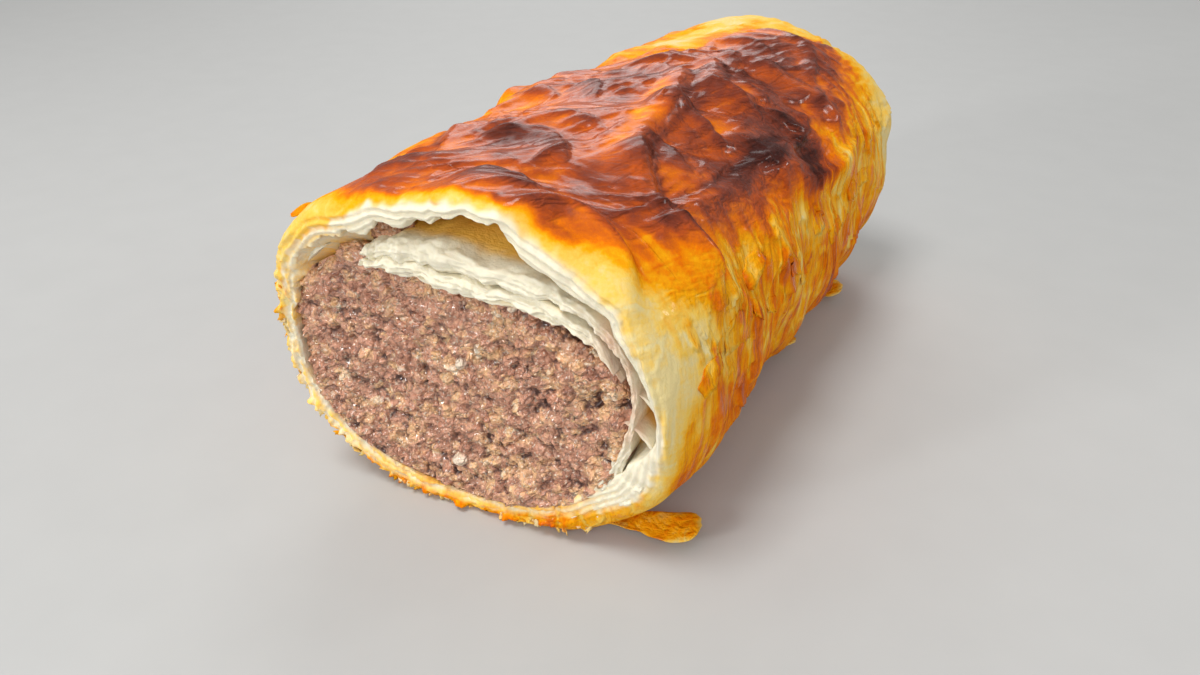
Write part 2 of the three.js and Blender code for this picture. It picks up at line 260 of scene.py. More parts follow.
# Look of the two rims: distance round, where the cut dough starts and ends as shares of the wall, how
# toasted it is, and how far back and how strongly the crust is paler
FRONT_LOOK = (
    (-90, 0.4, 0.75, 0.34, 2, 0.2),
    (-66, 0.15, 0.5, 0.3, 2.5, 0.5),
    (-50, 0.15, 0.5, 0.26, 3, 0.7),
    (-40, 0.55, 0.9, 0.3, 4.5, 0.7),
    (-20, 0.55, 0.9, 0.26, 4.5, 0.65),
    (-12, 0.2, 0.5, 0.12, 2.2, 0.6),
    (-2, 0.1, 0.6, 0.1, 1.5, 0.7),
    (10, 0.1, 0.6, 0.1, 1.5, 0.7),
    (18, 0.1, 0.6, 0.1, 2, 0.7),
    (27, 0.3, 0.85, 0.1, 4.5, 0.75),
    (34, 0.4, 0.95, 0.1, 8.5, 0.85),
    (42, 0.35, 0.9, 0.1, 8, 0.85),
    (48, 0.25, 0.75, 0.12, 2.6, 0.6),
    (60, 0.2, 0.55, 0.12, 1.4, 0.4),
    (68, 0.25, 0.6, 0.2, 2, 0.3),
    (78, 0.45, 0.8, 0.34, 2, 0.2),
    (90, 0.4, 0.75, 0.34, 2, 0.2),
)
BACK_LOOK = (
    (-90, 0.4, 0.75, 0.34, 2, 0.2),
    (-60, 0.3, 0.65, 0.25, 4, 0.5),
    (-25, 0.3, 0.7, 0.15, 7, 0.7),
    (10, 0.2, 0.6, 0.1, 7, 0.7),
    (45, 0.15, 0.6, 0.1, 8, 0.8),
    (65, 0.2, 0.6, 0.2, 3, 0.4),
    (90, 0.4, 0.75, 0.34, 2, 0.2),
)

# Steam gaps: left and right edge round, and depth; elsewhere the wall soon closes on the filling
FRONT_GAP = (-13, 21, 44)
BACK_GAP = (-16, 10, 28)
SNUG_DEPTH = 9
SNUG_CLEARANCE = 0.3
THINNEST_WALL = 0.8

# Probes from the crust in to the filling
PROBE_DEPTH = 16
PROBES = 161

# Turn-in of the crust at the two rims: distance round and length
FRONT_TURN = (
    (-90, 1.4), (-60, 1.8), (-48, 2.8), (-38, 4.6), (-28, 4.8), (-18, 3.4), (-6, 2.8), (8, 2.8),
    (20, 3.6), (34, 4.4), (50, 3.4), (62, 2.4), (75, 1.8), (90, 1.4),
)
BACK_TURN = ((-90, 1.5), (-60, 2.4), (-30, 4), (0, 3), (34, 4.4), (60, 3), (90, 1.5))
TURN_IN_SHARE = 0.55

# Columns of the crust: share of the columns and of the way round, closest where the relief is finest
COLUMN_STOPS = ((0, -1), (0.03, -0.77), (0.26, -0.17), (0.9, 0.62), (0.97, 0.77), (1, 1))

# Distance from the front at which the finer mesh of the front rim takes over, and rows of the two meshes
FRONT_BAND = 9
BAND_OVERLAP = 0.3
FRONT_ROWS = 24
FRONT_RIM_ROWS = 18
BACK_RIM_ROWS = 8
FRONT_INSIDE = (0, 0.3, 0.7, 1.2, 2, 3, 4.4, 6.4, FRONT_BAND)
BACK_INSIDE = (0, 0.6, 1.4, 2.6, 4.4, 7, 12, 24, 44)
MIDDLE_INSIDE = (44, 34, 26, 20, 15, 11.5)

# Middle lines of the dough sheets between crust and filling, as x, z and thickness
FRONT_LINING = (
    (-12, 38.6, 0), (-11.6, 38.7, 1.4), (-10, 39.1, 2.2), (-7, 39.7, 2.9), (-2.5, 39.8, 3.2),
    (3, 39.3, 2.9), (9, 38.7, 2.5), (14, 37.9, 2.1), (18, 36.2, 1.6), (21.2, 33, 1.1),
    (22.9, 29.3, 0.8), (23.2, 25.6, 0.7), (22.5, 21.8, 0.8), (21.4, 17.6, 1.2), (19.2, 13.2, 2),
    (15.6, 9.2, 1.8), (11, 6.4, 0),
)
FROTH = (
    (-13, 37, 0), (-12.4, 37.2, 0.9), (-10, 37.5, 1.3), (-6, 37.7, 2), (-2, 37.4, 1.8), (2, 37, 2),
    (6, 36.8, 1.8), (11, 36.3, 1.7), (15, 35.3, 1.4), (18.6, 33, 1), (21, 29.6, 0),
)
FRONT_CUFF = (
    (-10, 37.1, 0), (-7, 36.8, 0.7), (-2, 36.4, 0.9), (4, 35.8, 0.7), (10, 35.4, 0.9),
    (15, 34.6, 0.8), (19, 32.2, 0.6), (21.6, 28.4, 0),
)
LEFT_WEB = ((-27, 29, 0), (-26, 31.5, 0.5), (-24, 34.2, 0.6), (-21, 36.8, 0.5), (-18.4, 38.4, 0))
UPPER_WEB = ((23.4, 27.2, 0), (24.6, 26.4, 0.4), (25.6, 24.8, 0.4), (26.2, 23, 0))
LOWER_WEB = ((21.6, 22.6, 0), (23, 21.9, 0.5), (24.6, 20.2, 0.45), (25.8, 18, 0))
LOW_FOLD = ((25, 16.5, 0), (23, 12.8, 1.8), (19.8, 9.2, 2.4), (15.8, 6.4, 1.8), (11, 4.4, 0))
BACK_LINING = (
    (18, 37.4, 0), (15, 38.7, 0.9), (9, 39.2, 1.6), (3, 39.6, 1.8), (-3, 40, 1.9), (-9, 40.2, 1.8),
    (-15, 39.4, 1.5), (-20, 36.6, 0.9), (-23, 33.2, 0),
)

# Grid of a sheet: columns to the millimetre, rows round its nose and shares of its depth
SHEET_COLUMNS = 6
NOSE_ROWS = 21
SHEET_DEPTHS = (1, 0.8, 0.6, 0.42, 0.3, 0.21, 0.15, 0.1, 0.065, 0.04, 0.02)
SHEET_SEED, SHEET_SEED_STEP = 1.9, 2.3

# Painted shade on the sheets beside the filling, in the mince's colour: distances across over which it
# starts and ends, and heights
SHADE_ACROSS = (16, 21, 23.4, 25)
SHADE_HEIGHTS = (16, 23)

# Sheets: end of the roll, middle line, set back, depth, bubbles and swell further in
SHEETS = (
    (-1, FRONT_LINING, 0.7, 40, 0.25, 1.6),
    (-1, FROTH, 0.6, 14, 0.4, 0.6),
    (-1, FRONT_CUFF, 1.2, 3.4, 0.4, 0),
    (-1, LEFT_WEB, 2, 7, 0.2, 0),
    (-1, UPPER_WEB, 1.4, 7, 0.1, 0),
    (-1, LOWER_WEB, 1.2, 7, 0.1, 0),
    (-1, LOW_FOLD, 0.3, 8, 0.25, 0),
    (1, BACK_LINING, 0.9, 26, 0.35, 1.2),
)

# Filling, as in the solids
FILLING_CENTRE = (-2.8, 21.2)
FILLING_HALF_WIDTH = 25
FILLING_RISE = 15.6
FILLING_FALL = 18.2
FILLING_TOP_SQUARENESS = 2.8
FILLING_BOTTOM_SQUARENESS = 2.1
FILLING_SLOPE = -0.07
FILLING_FRONT = 4.3 - LENGTH / 2
FILLING_FRONT_LEAN = 0.05
FILLING_BACK = LENGTH / 2 - 2.6
MINCE_SEEDS = {-1: 3.7, 1: 8.3}
MINCE_ASPECT = 0.74

# Cracks of the front face of the mince: ends as x and z, half width and depth
CRACKS = (
    (5, 28.4, 9.4, 29.6, 0.6, 1.2),
    (-9.6, 18.6, -7.4, 19.6, 0.5, 1),
    (-19.6, 29, -17.4, 30.2, 0.5, 1),
    (13.4, 35.8, 15.4, 35.2, 0.6, 1.1),
    (2.6, 36.4, 4.6, 36.8, 0.5, 0.9),
    (-5, 21, -2.8, 22.2, 0.4, 0.6),
    (15.2, 32, 16.2, 33.4, 0.5, 0.8),
    (3.4, 13.2, 5.6, 14.2, 0.4, 0.6),
    (18, 24.4, 19, 26.6, 0.5, 0.7),
)

# Pale bits in the front face of the mince: x, z, half length, half width and angle in degrees
PALE_BITS = (
    (-0.9, 24.9, 0.95, 0.7, 62),
    (-3, 9, 1.2, 0.85, 20),
    (7.8, 35, 0.6, 0.4, 0),
    (-10.8, 21.4, 0.7, 0.35, 15),
)

# Lumps of mince above the filling's edge, the first one caught under the crust: place and half size
LUMPS = (
    ((-10.6, -46.6, 40.6), (3.4, 1.6, 2.2)),
    ((-14, -48.4, 37), (4, 2, 1.8)),
)

# Unevenness of a lump: height and lumps to the radius
LUMP_SWELLS = ((0.22, 2), (0.14, 6), (0.1, 12))

# Painted pit shade, tone and fat of a lump: middle value and lumps to the radius
LUMP_TINTS = ((0.5, 12), (0.4, 14))
LUMP_FATTY = 0.4

# Grid steps of a flake along and across: at the foot, on the flanks and at the rim
FOOT_STEPS, SIDE_STEPS, CURL_STEPS = (24, 12), (10, 6), (16, 6)

# Flakes at the foot, as in the solids: centre, size, heading, bank and lift of the tip
FOOT_FLAKES = (
    ((21.5, -41, 1.3), (14, 6.4), 24, 4, 0.8),
    ((21.5, 33, 2.4), (12, 6), 24, 10, 0.8),
    ((20.5, 12, 2.2), (10, 5), -15, 8, 0.6),
    ((-20.5, -20, 2.2), (11, 6), 165, 8, 0.8),
    ((-20.5, 27, 2.2), (10, 6), 195, 8, 0.6),
)

# Leaves lifted off the flanks: distance along, round, length, width, heading in degrees and lift
SIDE_FLAKES = (
    (28, 37, 6, 3, -25, 0.5),
    (18, 43, 8, 5, 12, 0.45),
    (9, 43, 7, 3, -8, 0.5),
    (25, 42, 4, 2.4, 40, 0.4),
    (32, 45, 4, 2.4, 30, 0.4),
    (39, 42, 5, 2.6, 20, 0.4),
    (46, 46, 6, 3, 10, 0.5),
    (54, 41, 5, 3, 0, 0.4),
    (62, 45, 6, 3, -10, 0.5),
    (72, 42, 6, 3, 10, 0.4),
    (84, 44, 6, 3, 0, 0.4),
    (14, -42, 6, 3, 10, 0.4),
    (26, -46, 7, 3.4, -8, 0.5),
    (41, -41, 6, 3, 6, 0.4),
    (55, -46, 7, 3, -12, 0.5),
    (70, -43, 6, 3, 8, 0.4),
    (86, -45, 7, 3.4, 0, 0.5),
)

# Thin curl at the upper left of the front rim: distance along, round, length and width
RIM_CURLS = ((4.6, -24.5, 4.2, 1.7),)

# Crumbs along the front rim: first and last distance round, and number
RIM_CRUMBS = ((-66, -30, 36), (-90, -66, 30), (74, 90, 20))
CRUMB_SEED = 5
CRUMB_SIZES = (0.2, 0.5)
CRUMB_FORM = (1.7, 1, 0.35)

# Scales of the crust's toasting and of the mince's shade: named colour and its place from 0 to 1
CRUST_SHADES = {
    "crust_pale": 0,
    "gold_light": 0.14,
    "gold": 0.28,
    "orange": 0.43,
    "russet": 0.6,
    "brown": 0.77,
    "burnt": 1,
}
MINCE_SHADES = {"mince_dark": 0, "mince_rosy": 0.3, "mince": 0.55, "mince_tan": 0.82, "mince_pale": 1}

# Lights, in metres: name, setting of its power, size and place, all aimed at the middle of the roll
LIGHTS = (
    ("window_light", "key_power", 0.22, (-0.08, -0.22, 0.62)),
    ("fill_light", "fill_power", 0.6, (0.3, -0.58, 0.4)),
    ("low_light", "low_power", 0.12, (-0.4, -0.74, 0.24)),
    ("side_light", "side_power", 0.1, (0.55, 0.4, 0.3)),
    ("sheen_light", "sheen_power", 0.5, (-0.36, 0.66, 0.47)),
)
LIGHT_TARGET = Vector((0, 0, 0.025))
FLOOR_RADIUS = 3
FLOOR_SIDES = 96
SENSOR_WIDTH = 36
CLIP_START = 0.005


def smooth(value, low, high):
    """An eased step from 0 at low to 1 at high."""
    share = np.clip((value - low) / (high - low), 0, 1)
    return share * share * (3 - 2 * share)


def between(value, start, full, fading, gone):
    """1 between full and fading, eased to 0 at start and at gone."""
    return smooth(value, start, full) * (1 - smooth(value, fading, gone))


def bell(value):
    """1 at 0, easing to 0 on both sides."""
    return np.exp(-(value**2))


def lumps(x, y, z):
    """Smooth noise between -1 and 1 at each place, with lumps about one unit across."""
    x, y, z = np.broadcast_arrays(x, y, z)
    points = np.stack([x, y, z], -1).reshape(-1, 3).tolist()
    return np.fromiter(map(noise.noise, points), float, len(points)).reshape(x.shape)


def churn(x, y, *layers):
    """A sum of noise layers, each given as height, size in x, size in y and seed."""
    return sum(height * lumps(x / long, y / wide, seed) for height, long, wide, seed in layers)


def grains(x, y, z):
    """Each place's height in its grain, distance from the border and shade, all from 0 to 1."""
    found = [noise.voronoi(point) for point in np.stack(np.broadcast_arrays(x, y, z), -1).tolist()]
    near = np.array([gaps[:2] for gaps, _ in found])
    middle = np.array([spots[0] for _, spots in found])
    shade = (np.sin(middle @ np.array([12.99, 78.23, 37.72])) * 437.585) % 1
    return 1 - np.clip(near[:, 0] / 0.75, 0, 1) ** 2, smooth(near[:, 1] - near[:, 0], 0, 0.25), shade


def eased_line(stops, steps):
    """Evenly stepped points of a smooth curve through the stops."""
    stops = np.array(stops, float)
    ends = np.vstack([2 * stops[0] - stops[1], stops, 2 * stops[-1] - stops[-2]])
    place = np.linspace(0, len(stops) - 1, steps)
    first = np.minimum(place.astype(int), len(stops) - 2)
    t = (place - first)[:, None]
    a, b, c, d = (ends[first + k] for k in range(4))
    square, cube = 2 * a - 5 * b + 4 * c - d, 3 * b - a - 3 * c + d
    return 0.5 * (2 * b + (c - a) * t + square * t**2 + cube * t**3)


def read_off(stops, distance):
    """The values of a table of stops at each distance."""
    places, *columns = np.array(stops, float).T
    return [np.interp(distance, places, column) for column in columns]


def read_ends(front, distance, front_stops, back_stops):
    """The values of the front's table on the front half, and of the back's table behind it."""
    pairs = zip(read_off(front_stops, distance), read_off(back_stops, distance))
    return [np.where(front, *pair) for pair in pairs]


class Outline:
    """A closed section, from its top centre round by the right side, read by the share of its length."""

    def __init__(self, points):
        self.points = np.vstack([points, points[:1]])
        steps = np.linalg.norm(np.diff(self.points, axis=0), axis=1)
        self.length = steps.sum()
        self.shares = np.concatenate([[0], np.cumsum(steps)]) / self.length

    def at(self, share):
        share = np.asarray(share) % 1
        return np.stack([np.interp(share, self.shares, self.points[:, k]) for k in (0, 1)], -1)

    def outward(self, share):
        ahead = self.at(share + OUTWARD_STEP) - self.at(share - OUTWARD_STEP)
        ahead /= np.linalg.norm(ahead, axis=-1, keepdims=True)
        return np.stack([-ahead[..., 1], ahead[..., 0]], -1)


def signed_power(value, power):
    return np.sign(value) * np.abs(value) ** power


def crust_section(angle):
    across = signed_power(np.sin(angle), 2 / SQUARENESS)
    up = signed_power(np.cos(angle), 2 / SQUARENESS)
    rise = np.where(up > 0, HEIGHT - AXIS_HEIGHT, AXIS_HEIGHT + BASE_SINK)
    return np.stack([WIDTH / 2 * across, np.maximum(0, AXIS_HEIGHT + rise * up)], -1)


def filling_section(angle, share=1.0):
    """Point of the filling's section at an angle from its top and a share of the way out from its axis."""
    upper = np.cos(angle) > 0
    power = 2 / np.where(upper, FILLING_TOP_SQUARENESS, FILLING_BOTTOM_SQUARENESS)
    across = signed_power(np.sin(angle), power) * FILLING_HALF_WIDTH
    up = signed_power(np.cos(angle), power)
    rise = up * np.where(upper, FILLING_RISE, FILLING_FALL)
    slope = np.where(upper, FILLING_SLOPE * across * up, 0)
    return np.stack([FILLING_CENTRE[0] + share * across, FILLING_CENTRE[1] + share * (rise + slope)], -1)


ROUND = np.linspace(0, 2 * np.pi, SECTION_STEPS, endpoint=False)
CRUST = Outline(crust_section(ROUND))


def wall_to_filling(around):
    """How far the filling lies under the plain section, at each distance round."""
    share = around / CRUST.length
    edge, out = CRUST.at(share), CRUST.outward(share)
    depths = np.linspace(0, PROBE_DEPTH, PROBES)
    probes = edge[:, None] - depths[:, None] * out[:, None]
    offset = probes - np.array(FILLING_CENTRE)
    upper = offset[..., 1] > 0
    power = np.where(upper, FILLING_TOP_SQUARENESS, FILLING_BOTTOM_SQUARENESS)
    level = offset[..., 1] - np.where(upper, FILLING_SLOPE * offset[..., 0], 0)
    reach = np.abs(offset[..., 0] / FILLING_HALF_WIDTH) ** power
    reach = reach + np.abs(level / np.where(upper, FILLING_RISE, FILLING_FALL)) ** power
    inside = reach < 1
    return np.where(inside.any(1), depths[inside.argmax(1)], depths[-1] / 4)


def bent(x, z, along):
    """A point of the straight roll, moved by the lean, tuck and sag of its two ends."""
    tuck = FRONT_TUCK * (1 - smooth(along, 0, FRONT_TUCK_LENGTH))
    x = np.where(x > 0, x * (1 - tuck), x)
    lift = FRONT_LIFT * (1 - smooth(along, 0, FRONT_LIFT_LENGTH))
    foot = smooth(x, 0, WIDTH / 2) * (1 - smooth(z, 0, AXIS_HEIGHT))
    drop = SHOULDER_DROP * smooth(along, LENGTH - SHOULDER_DROP_LENGTH, LENGTH)
    high = np.maximum(0, z - AXIS_HEIGHT) / (HEIGHT - AXIS_HEIGHT)
    left = np.maximum(0, -x) / (WIDTH / 2)
    z = z + lift * foot - drop * high * left
    fore = 1 - along / LENGTH
    lean = -BACK_LEAN + (FRONT_LEAN + BACK_LEAN) * fore
    return np.stack([x, along - LENGTH / 2 - lean * (z - HEIGHT / 2) + FRONT_SKEW * fore * x, z], -1)


def fold_gap(path, along, around):
    """Distance to a fold's line, positive on the side that rises to it, and the share of it passed."""
    line = eased_line(path, FOLD_STEPS)
    nearest = np.full(along.shape, np.inf)
    side, passed = np.ones(along.shape), np.zeros(along.shape)
    for number, (start, end) in enumerate(zip(line[:-1], line[1:])):
        run, climb = end - start
        off_along, off_around = along - start[0], around - start[1]
        share = np.clip((off_along * run + off_around * climb) / (run**2 + climb**2), 0, 1)
        gap = np.hypot(off_along - share * run, off_around - share * climb)
        closer = gap < nearest
        nearest = np.where(closer, gap, nearest)
        side = np.where(closer, np.sign(run * off_around - climb * off_along), side)
        passed = np.where(closer, (number + share) / (len(line) - 1), passed)
    return np.where(side > 0, nearest, -nearest), passed


def fold_rise(fold, along, around, fading=False):
    """Rise of a fold, which may fade at its ends, and the painted shade of the crease at the foot of its
    lip.
    """
    height, reach, lip, path = fold
    rise, crease_shade = np.zeros(along.shape), np.zeros(along.shape)
    paths = np.array(path)
    low, high = paths.min(0) - 3 * reach, paths.max(0) + 3 * reach
    near = (along > low[0]) & (along < high[0]) & (around > low[1]) & (around < high[1])
    gap, passed = fold_gap(path, along[near], around[near])
    height = height * smooth(passed, 0, 0.25) * (1 - smooth(passed, 0.75, 1)) if fading else height
    rise[near] = height * bell(gap / np.where(gap > 0, reach, lip))
    crease_shade[near] = bell((gap + CREASE_LIPS * lip) / CREASE_WIDTH) * np.clip(height, 0, 1)
    return rise, crease_shade


def patches(spots, along, around):
    total = np.zeros(along.shape)
    for spot_along, spot_around, half_along, half_around, strength in spots:
        u, w = (along - spot_along) / half_along, (around - spot_around) / half_around
        total += strength * np.exp(-(u * u + w * w))
    return total


def swelling(along, around):
    """The crust's large relief, as in the solids."""
    rise = patches(BLISTERS, along, around)
    for height, length, girth, phase in SWELLS:
        rise += height * np.sin(2 * np.pi * (along / length + around / girth) + phase)
    return rise


def plain_rise(along, around):
    return swelling(along, around) + sum(fold_rise(fold, along, around)[0] for fold in FOLDS)


def stray_wrinkles(count):
    """Short wrinkles at random places on the browned top."""
    draw = random.Random(STRAY_SEED)
    for _ in range(count):
        along, around = draw.uniform(*STRAY_ALONG), draw.uniform(*STRAY_AROUND)
        heading, bend = draw.gauss(0.1, 0.4), draw.uniform(-0.6, 0.6)
        if draw.random() < 0.25:
            heading += math.pi / 2
        length, height = draw.uniform(*STRAY_LENGTHS), draw.uniform(*STRAY_HEIGHTS)
        path = []
        for _ in range(4):
            path.append((along, around))
            along += length / 3 * math.cos(heading)
            around += length / 3 * math.sin(heading)
            heading += bend / 2
        yield height, draw.uniform(0.9, 2), draw.uniform(0.5, 0.8), tuple(path)


def browned(along, around):
    """1 on the browned top and 0 on the golden flanks, with tongues running down between them."""
    tongues = churn(along, around, (1, 1.7, 7, 6.1), (0.8, 5, 8, 0.7))
    left, right = read_off(BROWNED_TOP, along)
    left, right = left - 3 * tongues, right + 3 * tongues
    return between(around, left - 8, left + 4, right - 2.5, right + 5)


def crinkled(fine, where, along, around, drift, sizes):
    """The fine relief with the crinkles of the browned top."""
    for seed, (turn, long, wide, share) in enumerate(CRINKLES):
        ahead = along * math.cos(turn) + around * math.sin(turn)
        across = around * math.cos(turn) - along * math.sin(turn)
        waves = lumps(ahead / long + 0.6 * drift, across / wide + 1.2 * drift, seed + 0.7)
        gathered = smooth(lumps(along / 11, around / 8, seed + 3.4), -0.3, 0.3)
        fine = fine + where * gathered * share * sizes.wrinkle_height / MM * (bell(3.2 * waves) - 0.35)
    return fine


def layered(fine, crease_shade, where, along, around, drift, sizes):
    """The fine relief and the painted crease shade, with the streaks and the stepped layers of the flanks
    and painted shade at the steps.
    """
    down = lumps(along / 3.2 + 0.6 * drift, around / 11, 7.7)
    down = down + lumps(along / 1.5 + 0.6 * drift, around / 8, 5.2)
    streaks = 1.3 * down + 1.8 * lumps(along / 5.5, around / 6, 6.4)
    fine = fine + where * sizes.streak_height / MM * streaks
    layers = np.abs(around) / 5.5 + 1.1 * lumps(along / 5, around / 8, 2.2)
    layers = layers + 0.5 * lumps(along / 1.7, around / 5, 4.4)
    climb = layers - np.floor(layers)
    lifted = where * smooth(lumps(along / 9, around / 8, 8.8), -0.2, 0.4)
    fine = fine + lifted * sizes.layer_height / MM * climb**1.6
    # Painted shade along the foot of each lifted layer's step
    return fine, np.maximum(crease_shade, lifted * 0.3 * bell(climb / 0.08))


def crust_relief(along, around, sizes):
    """Rise of the crust, the fine part of it, the painted shade of its creases and how far down a flank.
    """
    rise, crease_shade, fine = swelling(along, around), np.zeros(along.shape), np.full(along.shape, -0.15)
    broken = np.clip(0.4 + 1.3 * lumps(along / 5, around / 5, 5.7), 0, 1)
    sound = np.maximum(1 - smooth(np.abs(around), 24, 31), broken)
    # The second value of each fold is the painted shade of its crease, broken up on the flanks
    for fold in FOLDS:
        more, deep = fold_rise(fold, along, around)
        rise, crease_shade = rise + more, np.maximum(crease_shade, 0.7 * deep * sound)
    for fold in (*WRINKLES, *stray_wrinkles(sizes.wrinkle_count)):
        more, deep = fold_rise(fold, along, around, True)
        fine, crease_shade = fine + more, np.maximum(crease_shade, 0.5 * deep)
    beside = np.maximum(smooth(around, 4, 14), smooth(-around, 8, 18))
    calm = 1 - 0.85 * (1 - smooth(along, 4, 14)) * beside
    fine, crease_shade = fine * calm + fold_rise(RIM_RIDGE, along, around, True)[0], crease_shade * calm
    flank = 1 - between(around, *TOP_ZONE)
    drift = lumps(along / 13, around / 9, 3.1)
    fine = crinkled(fine, calm * (1 - flank), along, around, drift, sizes)
    side = flank * (1 - smooth(np.abs(around), *UNDERSIDE))
    fine, crease_shade = layered(fine, crease_shade, calm * side, along, around, drift, sizes)
    return rise + fine, fine, crease_shade, flank


def toasting(along, around, fine, crease_shade):
    """How brown the crust is, from 0 for pale to 1 for the darkest, with painted shade added in the
    creases.
    """
    top = browned(along, around)
    cloud = churn(along, around, (1, 7, 3.4, 9.4), (0.6, 2.6, 1.3, 2.9))
    streak = churn(along, around, (1, 1.5, 8, 3.9), (0.6, 0.8, 5, 1.1))
    broad = churn(along, around, (1, 3.4, 10, 8.1), (0.8, 9, 7, 4.5))
    low = smooth(np.abs(around), 40, 54) * smooth(along, 4, 12)
    edge = 1 - smooth(along, 3, 10)
    sides = 0.14 * streak + 0.16 * broad + 0.09 * low + 0.04 * smooth(along, 8, 20)
    toast = 0.31 + (1 - top) * sides + top * (0.26 - 0.03 * edge + 0.09 * cloud)
    toast += patches(BAKED_PATCHES, along, around) + top * 0.2 * np.clip(1.7 * fine, -1, 1)
    # Painted shade: the creases are made browner
    return toast + 0.12 * crease_shade * (0.3 + top)


def rolled(along, around, lift):
    share = around / CRUST.length
    point = CRUST.at(share) + CRUST.outward(share) * lift[..., None]
    return bent(point[..., 0], point[..., 1], along)


def base_blend(around):
    return smooth(CRUST.at(around / CRUST.length)[..., 1], 0, BASE_BLEND)


def fit_to_solids():
    """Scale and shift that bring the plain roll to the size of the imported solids."""
    rows, columns = np.linspace(0, LENGTH, FIT_ROWS), np.linspace(-0.5, 0.5, FIT_COLUMNS)
    along, around = np.meshgrid(rows, columns * CRUST.length)
    places = rolled(along, around, base_blend(around) * plain_rise(along, around)).reshape(-1, 3)
    low, high = places.min(0), places.max(0)
    scale = np.array([WIDTH, LENGTH, HEIGHT]) / (high - low)
    return scale, np.array(PASTRY_LOW) / MM - low * scale


FIT_SCALE, FIT_SHIFT = fit_to_solids()


def placed(along, around, lift):
    """Place of a point that stands lift above the plain section, in millimetres."""
    return rolled(along, around, lift) * FIT_SCALE + FIT_SHIFT


def bent_grid(places, bake):
    """A grid mesh moved to places given by row and column in millimetres, with its bake values."""
    rows, columns = places.shape[:2]
    bm = bmesh.new()
    bmesh.ops.create_grid(bm, x_segments=columns - 1, y_segments=rows - 1, size=1)
    return settled(bm, places, bake)


def settled(bm, places, bake):
    """The mesh with its points moved to places given in millimetres, and with their bake values."""
    layer = bm.verts.layers.float_color.new("bake")
    spots, values = (places * MM).reshape(-1, 3).tolist(), bake.reshape(-1, 4).tolist()
    for vert, spot, tints in zip(bm.verts, spots, values):
        vert.co, vert[layer] = spot, tints
    return bm


def finished(bm, name, material, node):
    """The closed mesh as a named piece that stands for a node of the solids."""
    bmesh.ops.remove_doubles(bm, verts=bm.verts, dist=WELD)
    bmesh.ops.dissolve_degenerate(bm, dist=DEGENERATE, edges=bm.edges)
    bmesh.ops.recalc_face_normals(bm, faces=bm.faces)
    for face in bm.faces:
        face.smooth = True
    mesh = bpy.data.meshes.new(name)
    bm.to_mesh(mesh)
    bm.free()
    mesh.materials.append(material)
    piece = bpy.data.objects.new(name, mesh)
    bpy.context.scene.collection.objects.link(piece)
    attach(piece, BODY)
    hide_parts(node)
    return piece


def rim_rows(count):
    """Rows over a rim from outside in: shares of the turn-in, of the edge's rounding and of the wall."""
    quarter = np.linspace(0, np.pi / 2, count)
    turn = np.concatenate([1 - np.sin(quarter[:-1]), 0 * quarter])
    edge = np.concatenate([0 * quarter[:-1], 1 - np.cos(quarter)])
    outside = TURN_IN_SHARE * (1 - np.cos(quarter[:-1]))
    inside = TURN_IN_SHARE + (1 - TURN_IN_SHARE) * np.sin(quarter)
    inset = np.concatenate([outside, inside])
    return (part[1:-1, None] for part in (turn, edge, inset))


def rim_plane(end, x, z):
    """Where the front or back rim stands along the roll, at a place of the section."""
    along = np.full(np.shape(x), 0.0 if end < 0 else float(LENGTH))
    return bent(x, z, along)[..., 1] * FIT_SCALE[1] + FIT_SHIFT[1]


def front_rim_mesh(sizes):
    """The front rim with the crust and the inside of the wall next to it."""
    around = np.linspace(-0.5, 0.5, sizes.rim_columns) * CRUST.length
    edge = sizes.rim_edge / MM
    turn_in = read_off(FRONT_TURN, around)[0]
    outer = turn_in + (FRONT_BAND + BAND_OVERLAP - turn_in) * np.linspace(1, 0, FRONT_ROWS)[:, None]
    turn, rounding, share = rim_rows(FRONT_RIM_ROWS)
    inner = edge + np.array(FRONT_INSIDE)[:, None] + 0 * around
    along = np.vstack([outer, turn * turn_in + rounding * edge, inner, outer[:1]])
    inset = np.vstack([0 * outer, share + 0 * around, 0 * inner + 1, 0 * outer[:1]])
    return crust_band(along, inset, around, sizes)


def crust_mesh(sizes):
    """The crust behind the front rim, with the back rim and the inside of the wall."""
    around = read_off(COLUMN_STOPS, np.linspace(0, 1, sizes.crust_columns))[0] * CRUST.length / 2
    edge = sizes.rim_edge / MM
    turn_in = read_off(BACK_TURN, around)[0]
    steps = np.linspace(0, 1, sizes.crust_rows)[:, None]
    outer = FRONT_BAND + (LENGTH - FRONT_BAND - turn_in) * (0.8 * steps + 0.2 * steps**2)
    turn, rounding, share = rim_rows(BACK_RIM_ROWS)
    back = LENGTH - edge - np.array(BACK_INSIDE)
    inner = np.concatenate([back, MIDDLE_INSIDE, [FRONT_BAND + edge]])[:, None] + 0 * around
    along = np.vstack([outer, LENGTH - turn * turn_in - rounding * edge, inner, outer[:1]])
    inset = np.vstack([0 * outer, share + 0 * around, 0 * inner + 1, 0 * outer[:1]])
    return crust_band(along, inset, around, sizes)


def wall_depths(along, around, bottom, front):
    """How thick the wall is at its rim, and where it lies against the filling."""
    wall = read_ends(front, around, FRONT_WALL, BACK_WALL)[0]
    snug = wall_to_filling(around[0])[None] - SNUG_CLEARANCE
    wall = wall + (np.maximum(snug, wall) - wall) * bottom
    wall = wall + 0.25 * lumps(around / 3.2, along / 3, 4.2) * (1 - bottom)
    torn = between(around, *TORN_EDGE) * front
    return wall + torn * churn(around, along, (1.1, 3, 3, 6.6), (0.5, 0.9, 2, 8.2)), snug


def gap_depth(around, front):
    """How far in from its end the wall meets the filling."""
    depths = []
    for left, right, deepest in (FRONT_GAP, BACK_GAP):
        over = between(around, left - 4, left + 2, right - 2, right + 4)
        depths.append(SNUG_DEPTH + (deepest - SNUG_DEPTH) * over)
    return np.where(front, *depths)


